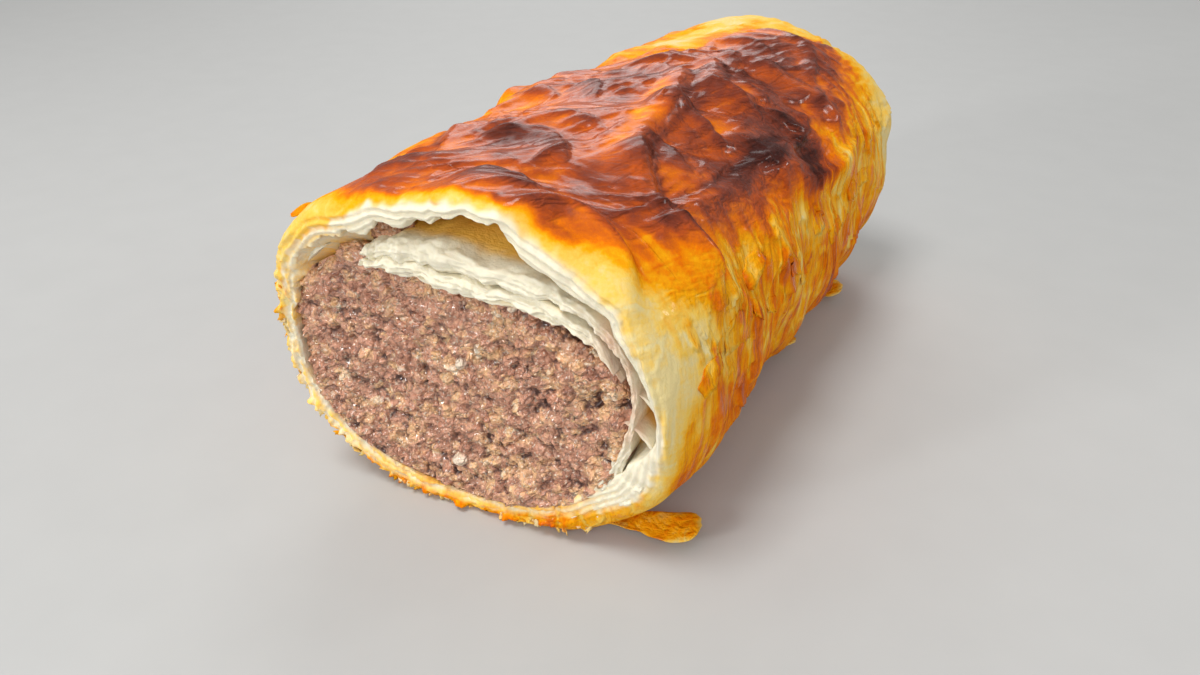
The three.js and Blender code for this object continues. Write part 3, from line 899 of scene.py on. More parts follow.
def crust_band(along, inset, around, sizes):
    """A closed band of the crust, from rows of distances along and shares of the way through the wall."""
    around = around + 0 * along
    rise, fine, crease_shade, flank = crust_relief(along, around, sizes)
    blend = base_blend(around)
    rise, crease_shade = blend * rise, blend * crease_shade
    bottom = 1 - smooth(CRUST.at(around / CRUST.length)[..., 1], *BOTTOM)
    left = smooth(-around, *LEFT_EDGE)
    front = along < LENGTH / 2

    behind = np.minimum(along, LENGTH - along)
    at_rim = np.exp(-behind / RIM_REACH)
    wall, snug = wall_depths(along, around, bottom, front)
    closed = smooth(behind / gap_depth(around, front), 0.15, 1)
    inside = (rise - wall) * (1 - closed) - snug * closed
    lift = rise * (1 - inset) + np.minimum(inside, rise - THINNEST_WALL) * inset

    ragged = np.maximum(bottom * (1 - between(around, *CLEAN_EDGE)), left)
    crumbs = churn(around, inset * wall, (1, 2.6, 0.5, 3.8), (0.6, 0.7, 0.5, 7.3))
    lift += 0.25 * ragged * at_rim * blend * crumbs * (1 - smooth(inset, 0.6, 1))
    spikes = np.clip(3 * lumps(around / 0.8, along / 1.2, 4.4) - 0.9, 0, 1) * np.exp(-behind / 0.8)
    lift += 0.8 * ragged * blend * spikes * (1 - smooth(inset, 0.3, 0.7))
    teeth = np.clip(2.4 * lumps(around / 1.3, inset * wall / 3, 5.5) - 0.3, 0, 1)
    teeth = teeth * bell((inset - 0.3) / 0.2)
    rag = 0.35 * lumps(around / 2.6, inset * 1.3, 2.5) + 0.14 * lumps(around / 0.9, inset * 2.1, 6.5)
    rag = (rag - ragged * (1.2 * teeth + 0.5 * crumbs)) * smooth(inset, 0, 0.3) * sizes.rim_rag / MM
    leaves = np.cos(2 * np.pi * inset * wall / 1.1 + 3 * lumps(around / 5, inset, 1.7))
    leaves = leaves * smooth(inset, 0.15, 0.5)
    inward = (rag + 0.2 * leaves * (1 - ragged) * (1 - smooth(inset, 0.85, 1))) * at_rim
    places = placed(along + np.where(front, inward, -inward), around, lift)
    places[..., 2] = np.maximum(places[..., 2], 0)

    toast = np.clip(toasting(along, around, fine, crease_shade), 0, 1)
    toast = toast * (1 - 0.75 * bottom) + 0.36 * bottom
    start, end, dough, far, fade = read_ends(front, around, FRONT_LOOK, BACK_LOOK)
    uneven = 1.35 + 0.8 * lumps(around / 4, along / 8, 4.9) + 0.5 * lumps(around / 1.4, along / 5, 2.7)
    far = far * uneven
    toast *= 1 - fade * (1 - smooth(behind, 0.25 * far, 1.1 * far))
    cut = smooth(inset + 0.15 * lumps(around / 1.5, along, 9.1), start, end)
    deep = smooth(behind, 1.5, 9) * (inset == 1)
    speckle = ragged * at_rim * (0.2 * crumbs + 0.1 * teeth)
    toast = np.clip(toast * (1 - cut) + cut * (dough + 0.3 * deep + 0.06 * leaves) + speckle, 0, 1)
    pale = np.clip(cut * (1 - 0.35 * bottom) - 0.8 * speckle, 0, 1)
    skin = 1 - smooth(inset, 0, 0.3)
    # The third bake value is the painted shade of the creases, on the outer skin only
    return bent_grid(places, np.stack([toast, pale, crease_shade * skin, flank], -1))


def sheet_mesh(sheet, seed):
    """A thin dough sheet that runs in from an end, tapered away at its sides and at its far edge."""
    end, stops, ahead, depth, bubble, swell = sheet
    columns = int(SHEET_COLUMNS * sum(math.dist(a[:2], b[:2]) for a, b in zip(stops, stops[1:])))
    line = eased_line(stops, columns)
    middle, thick = line[:, :2], np.maximum(line[:, 2], 0)
    run = np.gradient(middle, axis=0)
    run /= np.linalg.norm(run, axis=1, keepdims=True)
    out = np.stack([-run[:, 1], run[:, 0]], -1) * -end
    thin = np.minimum(thick, 1)
    turn = np.linspace(0, np.pi, NOSE_ROWS)
    far = np.array(SHEET_DEPTHS) * depth
    rounding = 0.2 + 0.6 * thick
    flat, nose = far[:, None] + rounding, (1 - np.sin(turn))[:, None] * rounding
    behind = np.vstack([flat, nose, flat[::-1], flat[:1]])
    level = np.concatenate([0 * far + 1, np.cos(turn), 0 * far - 1, [1]])[:, None] + 0 * thick
    taper = np.sqrt(np.clip(1 - (behind / depth) ** 4, 0, 1))
    place = np.arange(columns) / SHEET_COLUMNS
    thick = thick * (1 + 0.3 * lumps(place / 4, 0, seed + 2))
    wave = churn(place, behind, (1, 2.8, 4, seed), (0.45, 0.9, 1.6, seed + 3))
    frill = lumps(place / 2.2, level * 0.6, seed + 5) + 0.6 * lumps(place / 0.7, level, seed + 7)
    leaves = np.cos(2 * np.pi * level * thick / 1.3 + 3 * lumps(place / 3, level, seed + 1))
    leaves = leaves * (1 - level**2)
    risen = swell * smooth(behind, 0.5, 13) * smooth(middle[:, 1], 35, 38.5) * taper
    froth = lumps(place / 2.3, level * 0.7 + behind / 2.2, seed + 9)
    froth = froth + 0.5 * lumps(place, level + behind, seed + 4)
    bubbles = lumps(place / 0.5, level * 1.5 + behind / 0.6, seed + 8)
    near = np.exp(-behind / 3)
    slim = taper * (1 - 0.45 * smooth(behind, 2.5, 8))
    puffed = 1 + (0.5 * froth + 0.15 * bubbles) * near
    lift = bubble * wave * thin + level * thick / 2 * slim * puffed + risen
    x, z = np.moveaxis(middle + out * lift[..., None], -1, 0)
    inward = ahead + (0.15 * frill + 0.2 * leaves - 0.8 * froth - 0.25 * bubbles) * thin**2
    y = rim_plane(end, x, z) - end * (behind + inward * np.exp(-behind / 2))
    toast = 0.1 + 0.42 * smooth(behind, 1.5, 7) + 0.1 * np.clip(wave, 0, 1)
    # Painted shade where a sheet lies beside the filling's side
    beside = between(-end * x, *SHADE_ACROSS) * smooth(z, *SHADE_HEIGHTS)
    painted_shade = beside * np.clip(0.7 + 0.8 * lumps(place / 2.5, behind / 2, seed + 6), 0, 1)
    return bent_grid(np.stack([x, y, z], -1), np.stack([toast, painted_shade, 0 * toast, 1 + 0 * toast], -1))


def cracked(proud, x, z, warp_x, warp_z):
    """The height of the front face with its cracks."""
    for x0, z0, x1, z1, wide, deep in CRACKS:
        run, climb = x1 - x0, z1 - z0
        place = np.clip(((x - x0) * run + (z - z0) * climb) / (run**2 + climb**2), 0, 1)
        gap = np.hypot(x - x0 - place * run + 0.9 * warp_x, z - z0 - place * climb + 0.9 * warp_z)
        proud = proud - deep * bell(gap / wide)
    return proud


def studded(proud, x, z):
    """The height of the front face with its pale bits, and where they are."""
    bits = np.zeros(len(x))
    for x0, z0, long, wide, angle in PALE_BITS:
        run, climb = math.cos(math.radians(angle)), math.sin(math.radians(angle))
        p = ((x - x0) * run + (z - z0) * climb) / long
        q = ((z - z0) * run - (x - x0) * climb) / wide
        dome = np.clip(1.15 - p * p - q * q, 0, 1)
        here = smooth(dome, 0, 0.3)
        proud = proud * (1 - here) + here * (0.35 + 0.5 * np.sqrt(dome))
        bits = np.maximum(bits, here)
    return proud, bits


def mince_face(end, sizes):
    """One end of the filling: a square grid eased into the section, with coarse mince and cracks."""
    bm, columns = bmesh.new(), sizes.mince_columns
    bmesh.ops.create_grid(bm, x_segments=columns, y_segments=int(columns * MINCE_ASPECT), size=1)
    flat = np.array([vert.co[:2] for vert in bm.verts])
    u = flat[:, 0] * np.sqrt(1 - flat[:, 1] ** 2 / 2)
    w = flat[:, 1] * np.sqrt(1 - flat[:, 0] ** 2 / 2)
    share = np.hypot(u, w)
    section = filling_section(np.arctan2(u, w), share)
    x, z = section[:, 0], section[:, 1]
    seed = MINCE_SEEDS[end]
    size = sizes.mince_grain / MM
    warp_x, warp_z = lumps(x / 1.6, z / 1.6, seed + 4), lumps(x / 1.6, z / 1.6, seed + 6)
    u, w = (x + 0.7 * warp_x) / (1.5 * size), (z + 0.7 * warp_z) / size
    large, large_gap, large_shade = grains(u, w, seed)
    u, w = (x + 0.3 * warp_z) / (0.6 * size), (z - 0.3 * warp_x) / (0.5 * size)
    small, small_gap, small_shade = grains(u, w, seed + 1)
    grain = 0.6 * small * small_gap * (0.4 + 0.6 * large_gap) + 0.35 * large * large_gap
    proud = churn(x, z, (0.5, 7, 5, seed), (0.95, 2.6, 2, seed + 2)) + 0.9 * grain - 0.35
    dents = smooth(lumps(x / 2.2, z / 1.7, seed + 7), 0.35, 0.6)
    proud += 0.5 * lumps(x / 1.3, z / 1.1, seed + 5) - 0.45 * dents
    bits = np.zeros(len(x))
    if end < 0:
        proud, bits = studded(cracked(proud, x, z, warp_x, warp_z), x, z)
    height = sizes.mince_height / MM * (1 - 0.8 * smooth(share, 0.985, 1))
    plane = FILLING_FRONT - FILLING_FRONT_LEAN * (z - FILLING_CENTRE[1]) if end < 0 else FILLING_BACK
    edge = 0.4 + 0.8 * smooth(z, 8, 26)
    bulge = 1.2 * (1 - smooth(z, 4, 16)) - edge * smooth(share, 0.92, 1) ** 2
    if end < 0:
        bulge += 1.6 * (1 - smooth(x, -25, -8))
    y = plane + end * (proud * height + bulge)
    # Painted shade: low values darken the pits, the cracks and the low places
    pit_shade = np.clip(0.36 + 0.7 * grain + 0.45 * proud, 0, 1)
    shade = 0.35 * large_shade + 0.65 * small_shade
    fatty = smooth(churn(x, z, (1, 4.5, 3.2, seed + 8), (0.5, 1.5, 1.2, seed + 9)), 0, 0.7)
    return settled(bm, np.stack([x, y, z], -1), np.stack([pit_shade, shade, fatty, bits], -1))


def mince_lump(place, half):
    """A lump of mince at the edge of the filling."""
    bm = bmesh.new()
    layer = bm.verts.layers.float_color.new("bake")
    bmesh.ops.create_icosphere(bm, subdivisions=5, radius=1)
    for vert in bm.verts:
        swell = sum((height * noise.noise(vert.co * rate) for height, rate in LUMP_SWELLS), 1)
        pit_shade, shade = (middle * (1 + noise.noise(vert.co * rate)) for middle, rate in LUMP_TINTS)
        vert[layer] = (pit_shade, shade, LUMP_FATTY, 0)
        vert.co = [MM * (c + swell * s * v) for c, s, v in zip(place, half, vert.co)]
    return bm


def joined(*parts):
    """Several bmeshes as one."""
    whole = bmesh.new()
    for part in parts:
        mesh = bpy.data.meshes.new("part")
        part.to_mesh(mesh)
        part.free()
        whole.from_mesh(mesh)
        bpy.data.meshes.remove(mesh)
    return whole


def flake_grid(bm, layer, steps, shape):
    """Adds a leaf, whose shape gives places and toast for two shares from -1 to 1."""
    made = bmesh.ops.create_grid(bm, x_segments=steps[0], y_segments=steps[1], size=1)["verts"]
    spots, toast = shape(*np.array([vert.co[:2] for vert in made]).T)
    for vert, spot, depth in zip(made, (spots * MM).tolist(), toast.tolist()):
        vert.co, vert[layer] = spot, (depth, 0, 0, 1)


def foot_flake(centre, size, heading, bank, tip):
    turn = Matrix.Rotation(math.radians(heading), 3, "Z") @ Matrix.Rotation(math.radians(bank), 3, "X")

    def shape(p, q):
        q = q * np.sqrt(1 - 0.95 * p**6) * (0.6 + 0.45 * p) - 0.25 * np.sin(2.6 * p)
        rim = 0.3 * lumps(p * 2.3, q * 2.3, centre[1])
        wave = 0.35 * np.sin(3 * p + 2 * q) + tip * np.maximum(0, p) ** 2
        local = np.stack([p * size[0] / 2 + rim, q * size[1] / 2 + rim, wave + 0.2 * q**2], -1)
        spot = local @ np.array(turn).T + np.array(centre)
        spot[:, 2] = np.maximum(spot[:, 2], 0.2)
        edge = smooth(np.maximum(np.abs(p), np.abs(q)), 0.85, 1)
        return spot, 0.34 + 0.06 * lumps(p, q, centre[0]) - 0.2 * edge

    return shape


def lifted_flake(along, around, length, width, heading, lift, sizes):
    """A thin leaf of the crust that has come away along its lower edge."""
    turned = math.radians(heading) + (math.pi if around < 0 else 0)

    def shape(p, q):
        ragged = 0.5 * lumps(2.2 * p + along, 1.4 * q, around) + 0.3 * lumps(5 * p, 3 * q, along)
        u, w = p * length / 2 + ragged, (q - 1) * width / 2 * (1 - 0.35 * p * p) + ragged
        there = along + u * math.cos(turned) - w * math.sin(turned)
        turn = around + u * math.sin(turned) + w * math.cos(turned)
        under = crust_relief(there, turn, sizes)[0]
        free = (q + 1) / 2
        lifted = lift * free**2 * (0.8 + 0.6 * lumps(2 * p, q, along))
        spots = placed(there, turn, base_blend(turn) * under + 0.02 + lifted)
        return spots, toasting(there, turn, 0, 0) + 0.05 - 0.1 * smooth(free, 0.8, 1)

    return shape


def rim_curl(along, around, length, width):
    """A thin curl that lifts off where the crust bends away under it."""
    turn = np.array([around, around - 1.0])
    behind = np.array([along, along])
    level = plain_rise(behind, turn) - 0.2
    root, ahead = placed(behind, turn, level)
    heading = ahead - root + 0.55 * (placed(behind, turn, level + 1) - placed(behind, turn, level))[0]
    heading /= np.linalg.norm(heading)

    def shape(p, q):
        out = (p + 1) / 2
        side = q * width / 2 * np.sqrt(1 - out**3) + 0.2 * np.sin(5 * out)
        lift = 0.25 * np.sin(4 * out) * out - 0.12 * q**2
        spots = root + heading * (length * out)[:, None]
        spots = spots + np.stack([0 * out, 0.7 * side, 0.7 * side + lift], -1)
        return spots, 0.36 + 0.08 * out - 0.15 * smooth(np.abs(q), 0.6, 1)

    return shape


def rim_crumb(bm, layer, around, draw):
    """Adds a crumb that clings to the cut of the front rim."""
    inset, half = draw.uniform(0, 0.5), draw.uniform(*CRUMB_SIZES)
    wall, turn = read_off(FRONT_WALL, around)[0], read_off(FRONT_TURN, around)[0]
    along = turn * max(0, 0.4 - inset) + draw.uniform(-0.1, 0.3)
    spot = placed(np.array([along]), np.array([around]), np.array([-0.1 - inset * wall]))[0]
    spin = Euler([draw.uniform(0, math.tau) for _ in range(3)]).to_matrix()
    toast, pale, seed = draw.uniform(0.12, 0.36), draw.uniform(0, 0.6), draw.uniform(0, 99)
    for vert in bmesh.ops.create_icosphere(bm, subdivisions=2, radius=1)["verts"]:
        swell = 1 + 0.8 * noise.noise(vert.co * 1.9 + Vector((seed, 0, 0)))
        crumb = spin @ Vector([s * c for s, c in zip(CRUMB_FORM, vert.co)]) * half * swell
        vert.co = [MM * c for c in (spot[0] + crumb.x, spot[1] + crumb.y, max(0.1, spot[2] + crumb.z))]
        vert[layer] = (toast, pale, 0, 1)


class Value:
    """A socket of a finish's nodes; arithmetic on it adds Math nodes."""

    def __init__(self, finish, socket):
        self.finish = finish
        self.socket = socket

    def maths(self, operation, *values):
        return self.finish.node("ShaderNodeMath", {"operation": operation}, dict(enumerate(values)))

    def __add__(self, other):
        return self.maths("ADD", self, other)

    def __sub__(self, other):
        return self.maths("SUBTRACT", self, other)

    def __rsub__(self, other):
        return self.maths("SUBTRACT", other, self)

    def __mul__(self, other):
        return self.maths("MULTIPLY", self, other)

    def __pow__(self, other):
        return self.maths("POWER", self, other)

    def __abs__(self):
        return self.maths("ABSOLUTE", self)

    __radd__ = __add__
    __rmul__ = __mul__

    def step(self, low, high):
        """An eased step from 0 at low to 1 at high."""
        inputs = {"Value": self, "From Min": low, "From Max": high}
        return self.finish.node("ShaderNodeMapRange", {"interpolation_type": "SMOOTHSTEP"}, inputs)


class Finish:
    """A material under construction, around one Principled shader."""

    def __init__(self, name):
        self.material = bpy.data.materials.new(name)
        self.material.use_nodes = True
        self.tree = self.material.node_tree
        self.shader = self.tree.nodes["Principled BSDF"]
        self.place = self.node("ShaderNodeTexCoord", output="Object")

    def plug(self, socket, value):
        if isinstance(value, Value):
            self.tree.links.new(value.socket, socket)
        else:
            socket.default_value = value

    def node(self, kind, settings=None, inputs=None, output=0):
        node = self.tree.nodes.new(kind)
        for key, value in (settings or {}).items():
            if key == "stops":
                ramp = node.color_ramp
                while len(ramp.elements) < len(value):
                    ramp.elements.new(1)
                for element, (position, colour) in zip(ramp.elements, value):
                    element.position, element.color = position, (*colour, 1)
            else:
                setattr(node, key, value)
        for key, value in (inputs or {}).items():
            self.plug(node.inputs[key], value)
        return Value(self, node.outputs[output])

    def set(self, **inputs):
        """Sets or links sockets of the shader; an underscore in a name stands for a space."""
        for key, value in inputs.items():
            self.plug(self.shader.inputs[key.replace("_", " ")], value)

    def cloud(self, scale, detail=3, roughness=0.55, place=None, twist=0):
        """Soft noise from 0 to 1; the scale is in lumps to the metre."""
        inputs = {"Vector": place or self.place, "Scale": scale, "Detail": detail}
        inputs |= {"Roughness": roughness, "Distortion": twist}
        return self.node("ShaderNodeTexNoise", None, inputs)

    def cells(self, scale, place=None, feature="F1", output=0):
        """Distance from the middle or edge of the nearest cell; the scale is in cells to the metre."""
        inputs = {"Vector": place or self.place, "Scale": scale}
        return self.node("ShaderNodeTexVoronoi", {"feature": feature}, inputs, output)

    def warped(self, factors, scale, reach):
        """Drawn out coordinates shifted by soft noise."""
        place = self.drawn_out(factors)
        shift = self.node("ShaderNodeTexNoise", None, {"Vector": place, "Scale": scale}, output="Color")
        inputs = {0: shift, 1: (reach,) * 3, 2: place}
        return self.node("ShaderNodeVectorMath", {"operation": "MULTIPLY_ADD"}, inputs)

    def drawn_out(self, factors, heading=0.0):
        """Coordinates whose patterns are drawn out by the factors, turned about the vertical."""
        inputs = {"Vector": self.place, "Rotation": (0, 0, heading), "Scale": factors}
        return self.node("ShaderNodeMapping", {"vector_type": "TEXTURE"}, inputs)

    def mixed(self, first, second, share):
        inputs = {0: share, 6: as_colour(first), 7: as_colour(second)}
        return self.node("ShaderNodeMix", {"data_type": "RGBA"}, inputs, output=2)

    def bumped(self, height, distance, strength=1.0):
        inputs = {"Height": height, "Distance": distance, "Strength": strength}
        self.set(Normal=self.node("ShaderNodeBump", None, inputs))

    def shaded(self, shades, colours, level):
        """A colour read off a scale of named colours."""
        stops = [(position, getattr(colours, name)) for name, position in shades.items()]
        return self.node("ShaderNodeValToRGB", {"stops": stops}, {0: level})

    def bake_values(self):
        """The piece's own four bake values."""
        inputs = {"attribute_name": "bake"}
        parts = {0: self.node("ShaderNodeAttribute", inputs, output="Color")}
        values = [self.node("ShaderNodeSeparateColor", None, parts, output=k) for k in range(3)]
        return *values, self.node("ShaderNodeAttribute", inputs, output="Alpha")


def as_colour(value):
    return value if isinstance(value, Value) else (*value, 1)


def crust_finish(colours):
    """Egg-washed crust: toasted by its bake values, pale at the cut rims, glossy where it is brown, with
    painted shade in the creases.
    """
    finish = Finish("egg_washed_crust")
    toast, pale, crease_shade, flank = finish.bake_values()
    across = finish.cloud(560, 1.5, 0.5, finish.drawn_out((1, 3, 1), -0.6), 0.7)
    askew = finish.cloud(760, 1.5, 0.5, finish.drawn_out((1, 3.5, 1), -1.2), 0.7)
    downward = finish.cloud(640, 3, 0.55, finish.drawn_out((1, 1, 5)), 0.3)
    speck = finish.cloud(2400, 3, 0.6)
    leaf_edge = finish.cells(170, finish.warped((1, 1, 2.2), 260, 0.006), "DISTANCE_TO_EDGE")
    leaf_edge = (1 - leaf_edge.step(0, 0.09)) * finish.cloud(120, 2).step(0.45, 0.6) * flank
    top_crest = (1 - 4.5 * abs(across - 0.5)).step(0, 1) + 0.6 * (1 - 5 * abs(askew - 0.5)).step(0, 1)
    side_crest = 2.6 * (downward - 0.3)
    crest = top_crest + (side_crest - top_crest) * flank
    depth = toast + (crest - 0.6) * (0.05 + 0.12 * flank) + (across - 0.5) * 0.2
    # Leaf edges are paler: partly paler baking, partly a painted highlight on the edges
    depth = depth + (speck - 0.5) * 0.14 - 0.12 * leaf_edge
    baked = finish.shaded(CRUST_SHADES, colours, depth)
    dough = finish.mixed(colours.cream, colours.ochre, (toast * 1.6 + (speck - 0.5) * 0.4).step(0.2, 0.8))
    colour = finish.mixed(baked, dough, (pale + (speck - 0.5) * 0.3 * pale).step(0.05, 0.9))
    # Painted shade: the creases are darkened towards the darkest brown
    colour = finish.mixed(colour, colours.burnt, crease_shade * 0.3)
    brown = toast.step(0.28, 0.58)
    rough = 0.5 + 0.2 * (speck - 0.5) + 0.1 * pale
    finish.set(Base_Color=colour, Roughness=rough, Specular_IOR_Level=0.03)
    gloss = 0.55 * brown * (1 - flank) + flank * 0.6 * downward.step(0.56, 0.63)
    gloss = gloss * (1 - 0.6 * toast.step(0.72, 0.95)) * (1 - pale) * (0.5 + 0.5 * speck.step(0.3, 0.6))
    finish.set(Coat_Weight=gloss, Coat_Roughness=0.18, IOR=1.45)
    finish.set(Subsurface_Weight=0.06, Subsurface_Radius=(1, 0.5, 0.2), Subsurface_Scale=0.001)
    skin = flank * (0.25 + 0.75 * toast.step(0.14, 0.32))
    drawn = crest * (skin + (1 - flank) * toast.step(0.42, 0.7)) + 0.7 * leaf_edge * skin
    finish.bumped(drawn * (1 - 0.8 * pale) + 0.2 * speck, 0.0007, 0.6)
    return finish.material


def dough_finish(colours):
    """Pale crisp dough of the lining, ochre further in, with painted shade in mince colour beside the
    filling.
    """
    finish = Finish("pale_dough")
    toast, painted_shade, _, _ = finish.bake_values()
    grain = finish.cloud(1500, 3)
    patch = finish.cloud(260, 2)
    colour = finish.mixed(colours.cream, colours.ochre, (toast * 2 + (patch - 0.5) * 0.6).step(0.3, 1))
    # Painted shade beside the filling, tinted like the mince
    colour = finish.mixed(colour, colours.mince_rosy, 0.5 * painted_shade)
    finish.set(Base_Color=colour, Roughness=0.5 + 0.2 * grain)
    finish.set(Subsurface_Weight=0.15, Subsurface_Radius=(1, 0.8, 0.5), Subsurface_Scale=0.001, IOR=1.42)
    finish.bumped(grain + 0.6 * patch, 0.0004, 0.4)
    return finish.material


def mince_finish(colours):
    """Moist cooked mince: crumbs of several browns, with painted shade between them and in the cracks, and
    pale flecks that are partly painted glints.
    """
    finish = Finish("cooked_mince")
    pit_shade, shade, fatty, bit = finish.bake_values()
    grain = finish.cloud(2200, 3, 0.6)
    patch = finish.cloud(160, 2)
    lumpy = finish.warped((1, 1, 1), 520, 0.0014)
    crumb, bead = finish.cells(600, lumpy), finish.cells(1500, lumpy)
    tone = finish.cells(600, lumpy, output="Color")
    level = 0.35 * shade + 0.75 * tone + 0.4 * grain - 0.25 + 0.14 * fatty
    colour = finish.shaded(MINCE_SHADES, colours, level)
    colour = finish.mixed(colour, colours.mince_tan, fatty * patch.step(0.4, 0.65) * 0.7)
    # Pale flecks: partly bits of fat, partly painted glints of the wet mince
    fat_fleck_and_glint = finish.cloud(2000, 1).step(0.62, 0.68)
    colour = finish.mixed(colour, colours.mince_pale, 0.6 * fat_fleck_and_glint)
    colour = finish.mixed(colour, colours.mince_pale, bit * 0.85)
    # Painted shade in the pits, the cracks and the gaps between crumbs
    unshaded = pit_shade + (grain - 0.5) * 0.4 - 0.3 * crumb.step(0.42, 0.75)
    colour = finish.mixed(colours.mince_pit_shade, colour, unshaded.step(-0.25, 0.25))
    wet = grain.step(0.4, 0.56)
    finish.set(Base_Color=colour, Roughness=0.6 - 0.2 * wet)
    finish.set(Coat_Weight=0.55 + 0.45 * wet, Coat_Roughness=0.16)
    finish.set(Subsurface_Weight=0.06, Subsurface_Radius=(1, 0.4, 0.3), Subsurface_Scale=0.0006, IOR=1.42)
    finish.bumped(0.3 * grain - 1.6 * crumb**2 - 0.6 * bead**2, 0.0012, 1)
    return finish.material


def floor_finish(colour):
    finish = Finish("pale_floor")
    grain = finish.cloud(90, 3)
    finish.set(Base_Color=finish.mixed(colour, tuple(0.94 * c for c in colour), grain), Roughness=0.7)
    return finish.material


def colour_setting(name, red, green, blue, description):
    """A colour property whose default is given as screen values from 0 to 255."""
    light = [c / 255 for c in (red, green, blue)]
    linear = [c / 12.92 if c <= 0.04045 else ((c + 0.055) / 1.055) ** 2.4 for c in light]
    words = {"name": name, "description": description}
    return FloatVectorProperty(**words, subtype="COLOR", size=3, min=0, max=1, default=linear)


def count_setting(name, number, least, description):
    return IntProperty(name=name, description=description, default=number, min=least)


def length_setting(name, millimetres, description):
    words = {"name": name, "description": description}
    return FloatProperty(**words, default=millimetres * MM, min=0, unit="LENGTH", precision=5)


def power_setting(name, watts, description):
    return FloatProperty(name=name, description=description, default=watts, min=0, unit="POWER")


def angle_setting(name, degrees, description):
    turn = math.radians(degrees)
    return FloatProperty(name=name, description=description, default=turn, subtype="ANGLE")


class PastryRollSizes(bpy.types.PropertyGroup):
    """Sizes of the crust's relief, the rims, the mince and the flakes."""

    crust_columns: count_setting("Crust columns", 366, 60, "Grid columns round the crust")
    crust_rows: count_setting("Crust rows", 220, 40, "Grid rows along the crust")
    wrinkle_count: count_setting("Stray wrinkles", 80, 0, "Short wrinkles at random places")
    wrinkle_height: length_setting("Wrinkle height", 0.45, "Height of the fine wrinkles on the top")
    streak_height: length_setting("Streak height", 0.28, "Height of the streaks that run down the flanks")
    layer_height: length_setting("Layer height", 0.5, "Step where a layer of the flanks ends")
    rim_columns: count_setting("Rim columns", 840, 60, "Grid columns round the front rim")
    rim_edge: length_setting("Rim edge", 0.6, "Rounding of the rim's inner edge")
    rim_rag: length_setting("Rim raggedness", 1.0, "How far the edge of the crust runs in and out")
    mince_columns: count_setting("Mince columns", 250, 40, "Grid columns across an end of the filling")
    mince_grain: length_setting("Mince grain", 1.5, "Size of a crumb of the mince")
    mince_height: length_setting("Mince height", 0.9, "Height of the coarse mince on the ends")
    flake_thickness: length_setting("Flake thickness", 0.16, "Thickness of a leaf of the crust")


class PastryRollColours(bpy.types.PropertyGroup):
    """Colours of the crust, the dough and the mince."""

    crust_pale: colour_setting("Pale crust", 225, 205, 146, "Crust that is barely baked")
    gold_light: colour_setting("Light gold", 236, 194, 88, "Crust near the rims")
    gold: colour_setting("Gold", 238, 164, 16, "Crust of the flanks")
    orange: colour_setting("Orange", 224, 114, 2, "Crust at the edge of the browned top")
    russet: colour_setting("Russet", 178, 76, 20, "Crust of the browned top")
    brown: colour_setting("Brown", 126, 54, 32, "Darker patches of the browned top")
    # Also mixed into the creases as their painted shade
    burnt: colour_setting("Darkest brown", 66, 30, 24, "Ridges and creases that baked darkest")
    cream: colour_setting("Cream", 230, 222, 198, "Dough at the cut rims")
    ochre: colour_setting("Ochre", 255, 206, 96, "Dough further in")
    mince: colour_setting("Mince", 222, 162, 132, "Most of the filling")
    mince_dark: colour_setting("Dark mince", 144, 90, 68, "Darker crumbs of the filling")
    mince_tan: colour_setting("Tan mince", 250, 196, 140, "Lighter patches of the filling")
    # Also painted as small glints on the mince
    mince_pale: colour_setting("Pale mince", 252, 232, 206, "Bits of fat and onion")
    # Also the tint of the painted shade on the lining
    mince_rosy: colour_setting("Rosy mince", 204, 142, 112, "Pinker patches of the filling")
    # Painted shade of the pits, the cracks and the gaps between crumbs
    mince_pit_shade: colour_setting("Deep mince", 104, 62, 48, "Bottom of the cracks")


class PastryRollStage(bpy.types.PropertyGroup):
    """Floor, lights and camera."""

    floor: colour_setting("Floor", 186, 186, 184, "Colour of the floor")
    key_power: power_setting("Window light", 2.4, "Power of the large light")
    fill_power: power_setting("Fill light", 2, "Power of the light in front")
    low_power: power_setting("Low light", 2.4, "Power of the low light on the left")
    side_power: power_setting("Side light", 0.5, "Power of the light on the right")
    sheen_power: power_setting("Sheen light", 2.2, "Power of the light behind")
    sky: FloatProperty(name="Sky", description="Strength of the light all round", default=0.38, min=0)
    lens: FloatProperty(name="Lens", description="Focal length", default=27, min=5, unit="CAMERA")
    pitch: angle_setting("Pitch", 30.6, "Tilt of the camera below level")
    yaw: angle_setting("Yaw", 28.7, "Turn of the camera from the roll's axis")
    roll: angle_setting("Roll", -1.5, "Turn of the camera about its own axis")
    eye: FloatVectorProperty(
        name="Camera place",
        description="Place of the camera",
        subtype="TRANSLATION",
        unit="LENGTH",
        default=(0.0602, -0.1238, 0.0845),
    )


class PASTRYROLL_OT_crust(bpy.types.Operator):
    """Makes the crust with its folds, rims and inner wall"""

    bl_idname = "pastryroll.crust"
    bl_label = "Crust"

    def execute(self, context):
        scene = context.scene
        material = crust_finish(scene.pastryroll_colours)
        finished(crust_mesh(scene.pastryroll_sizes), "crust", material, "pastry")
        finished(front_rim_mesh(scene.pastryroll_sizes), "front_rim", material, "pastry")
        return {"FINISHED"}


class PASTRYROLL_OT_lining(bpy.types.Operator):
    """Makes the dough sheets between the crust and the filling at both ends"""

    bl_idname = "pastryroll.lining"
    bl_label = "Lining"

    def execute(self, context):
        scene = context.scene
        material = dough_finish(scene.pastryroll_colours)
        seeds = [SHEET_SEED + SHEET_SEED_STEP * number for number in range(len(SHEETS))]
        sheets = [sheet_mesh(sheet, seed) for sheet, seed in zip(SHEETS, seeds)]
        finished(joined(*sheets), "lining", material, "pastry")
        return {"FINISHED"}


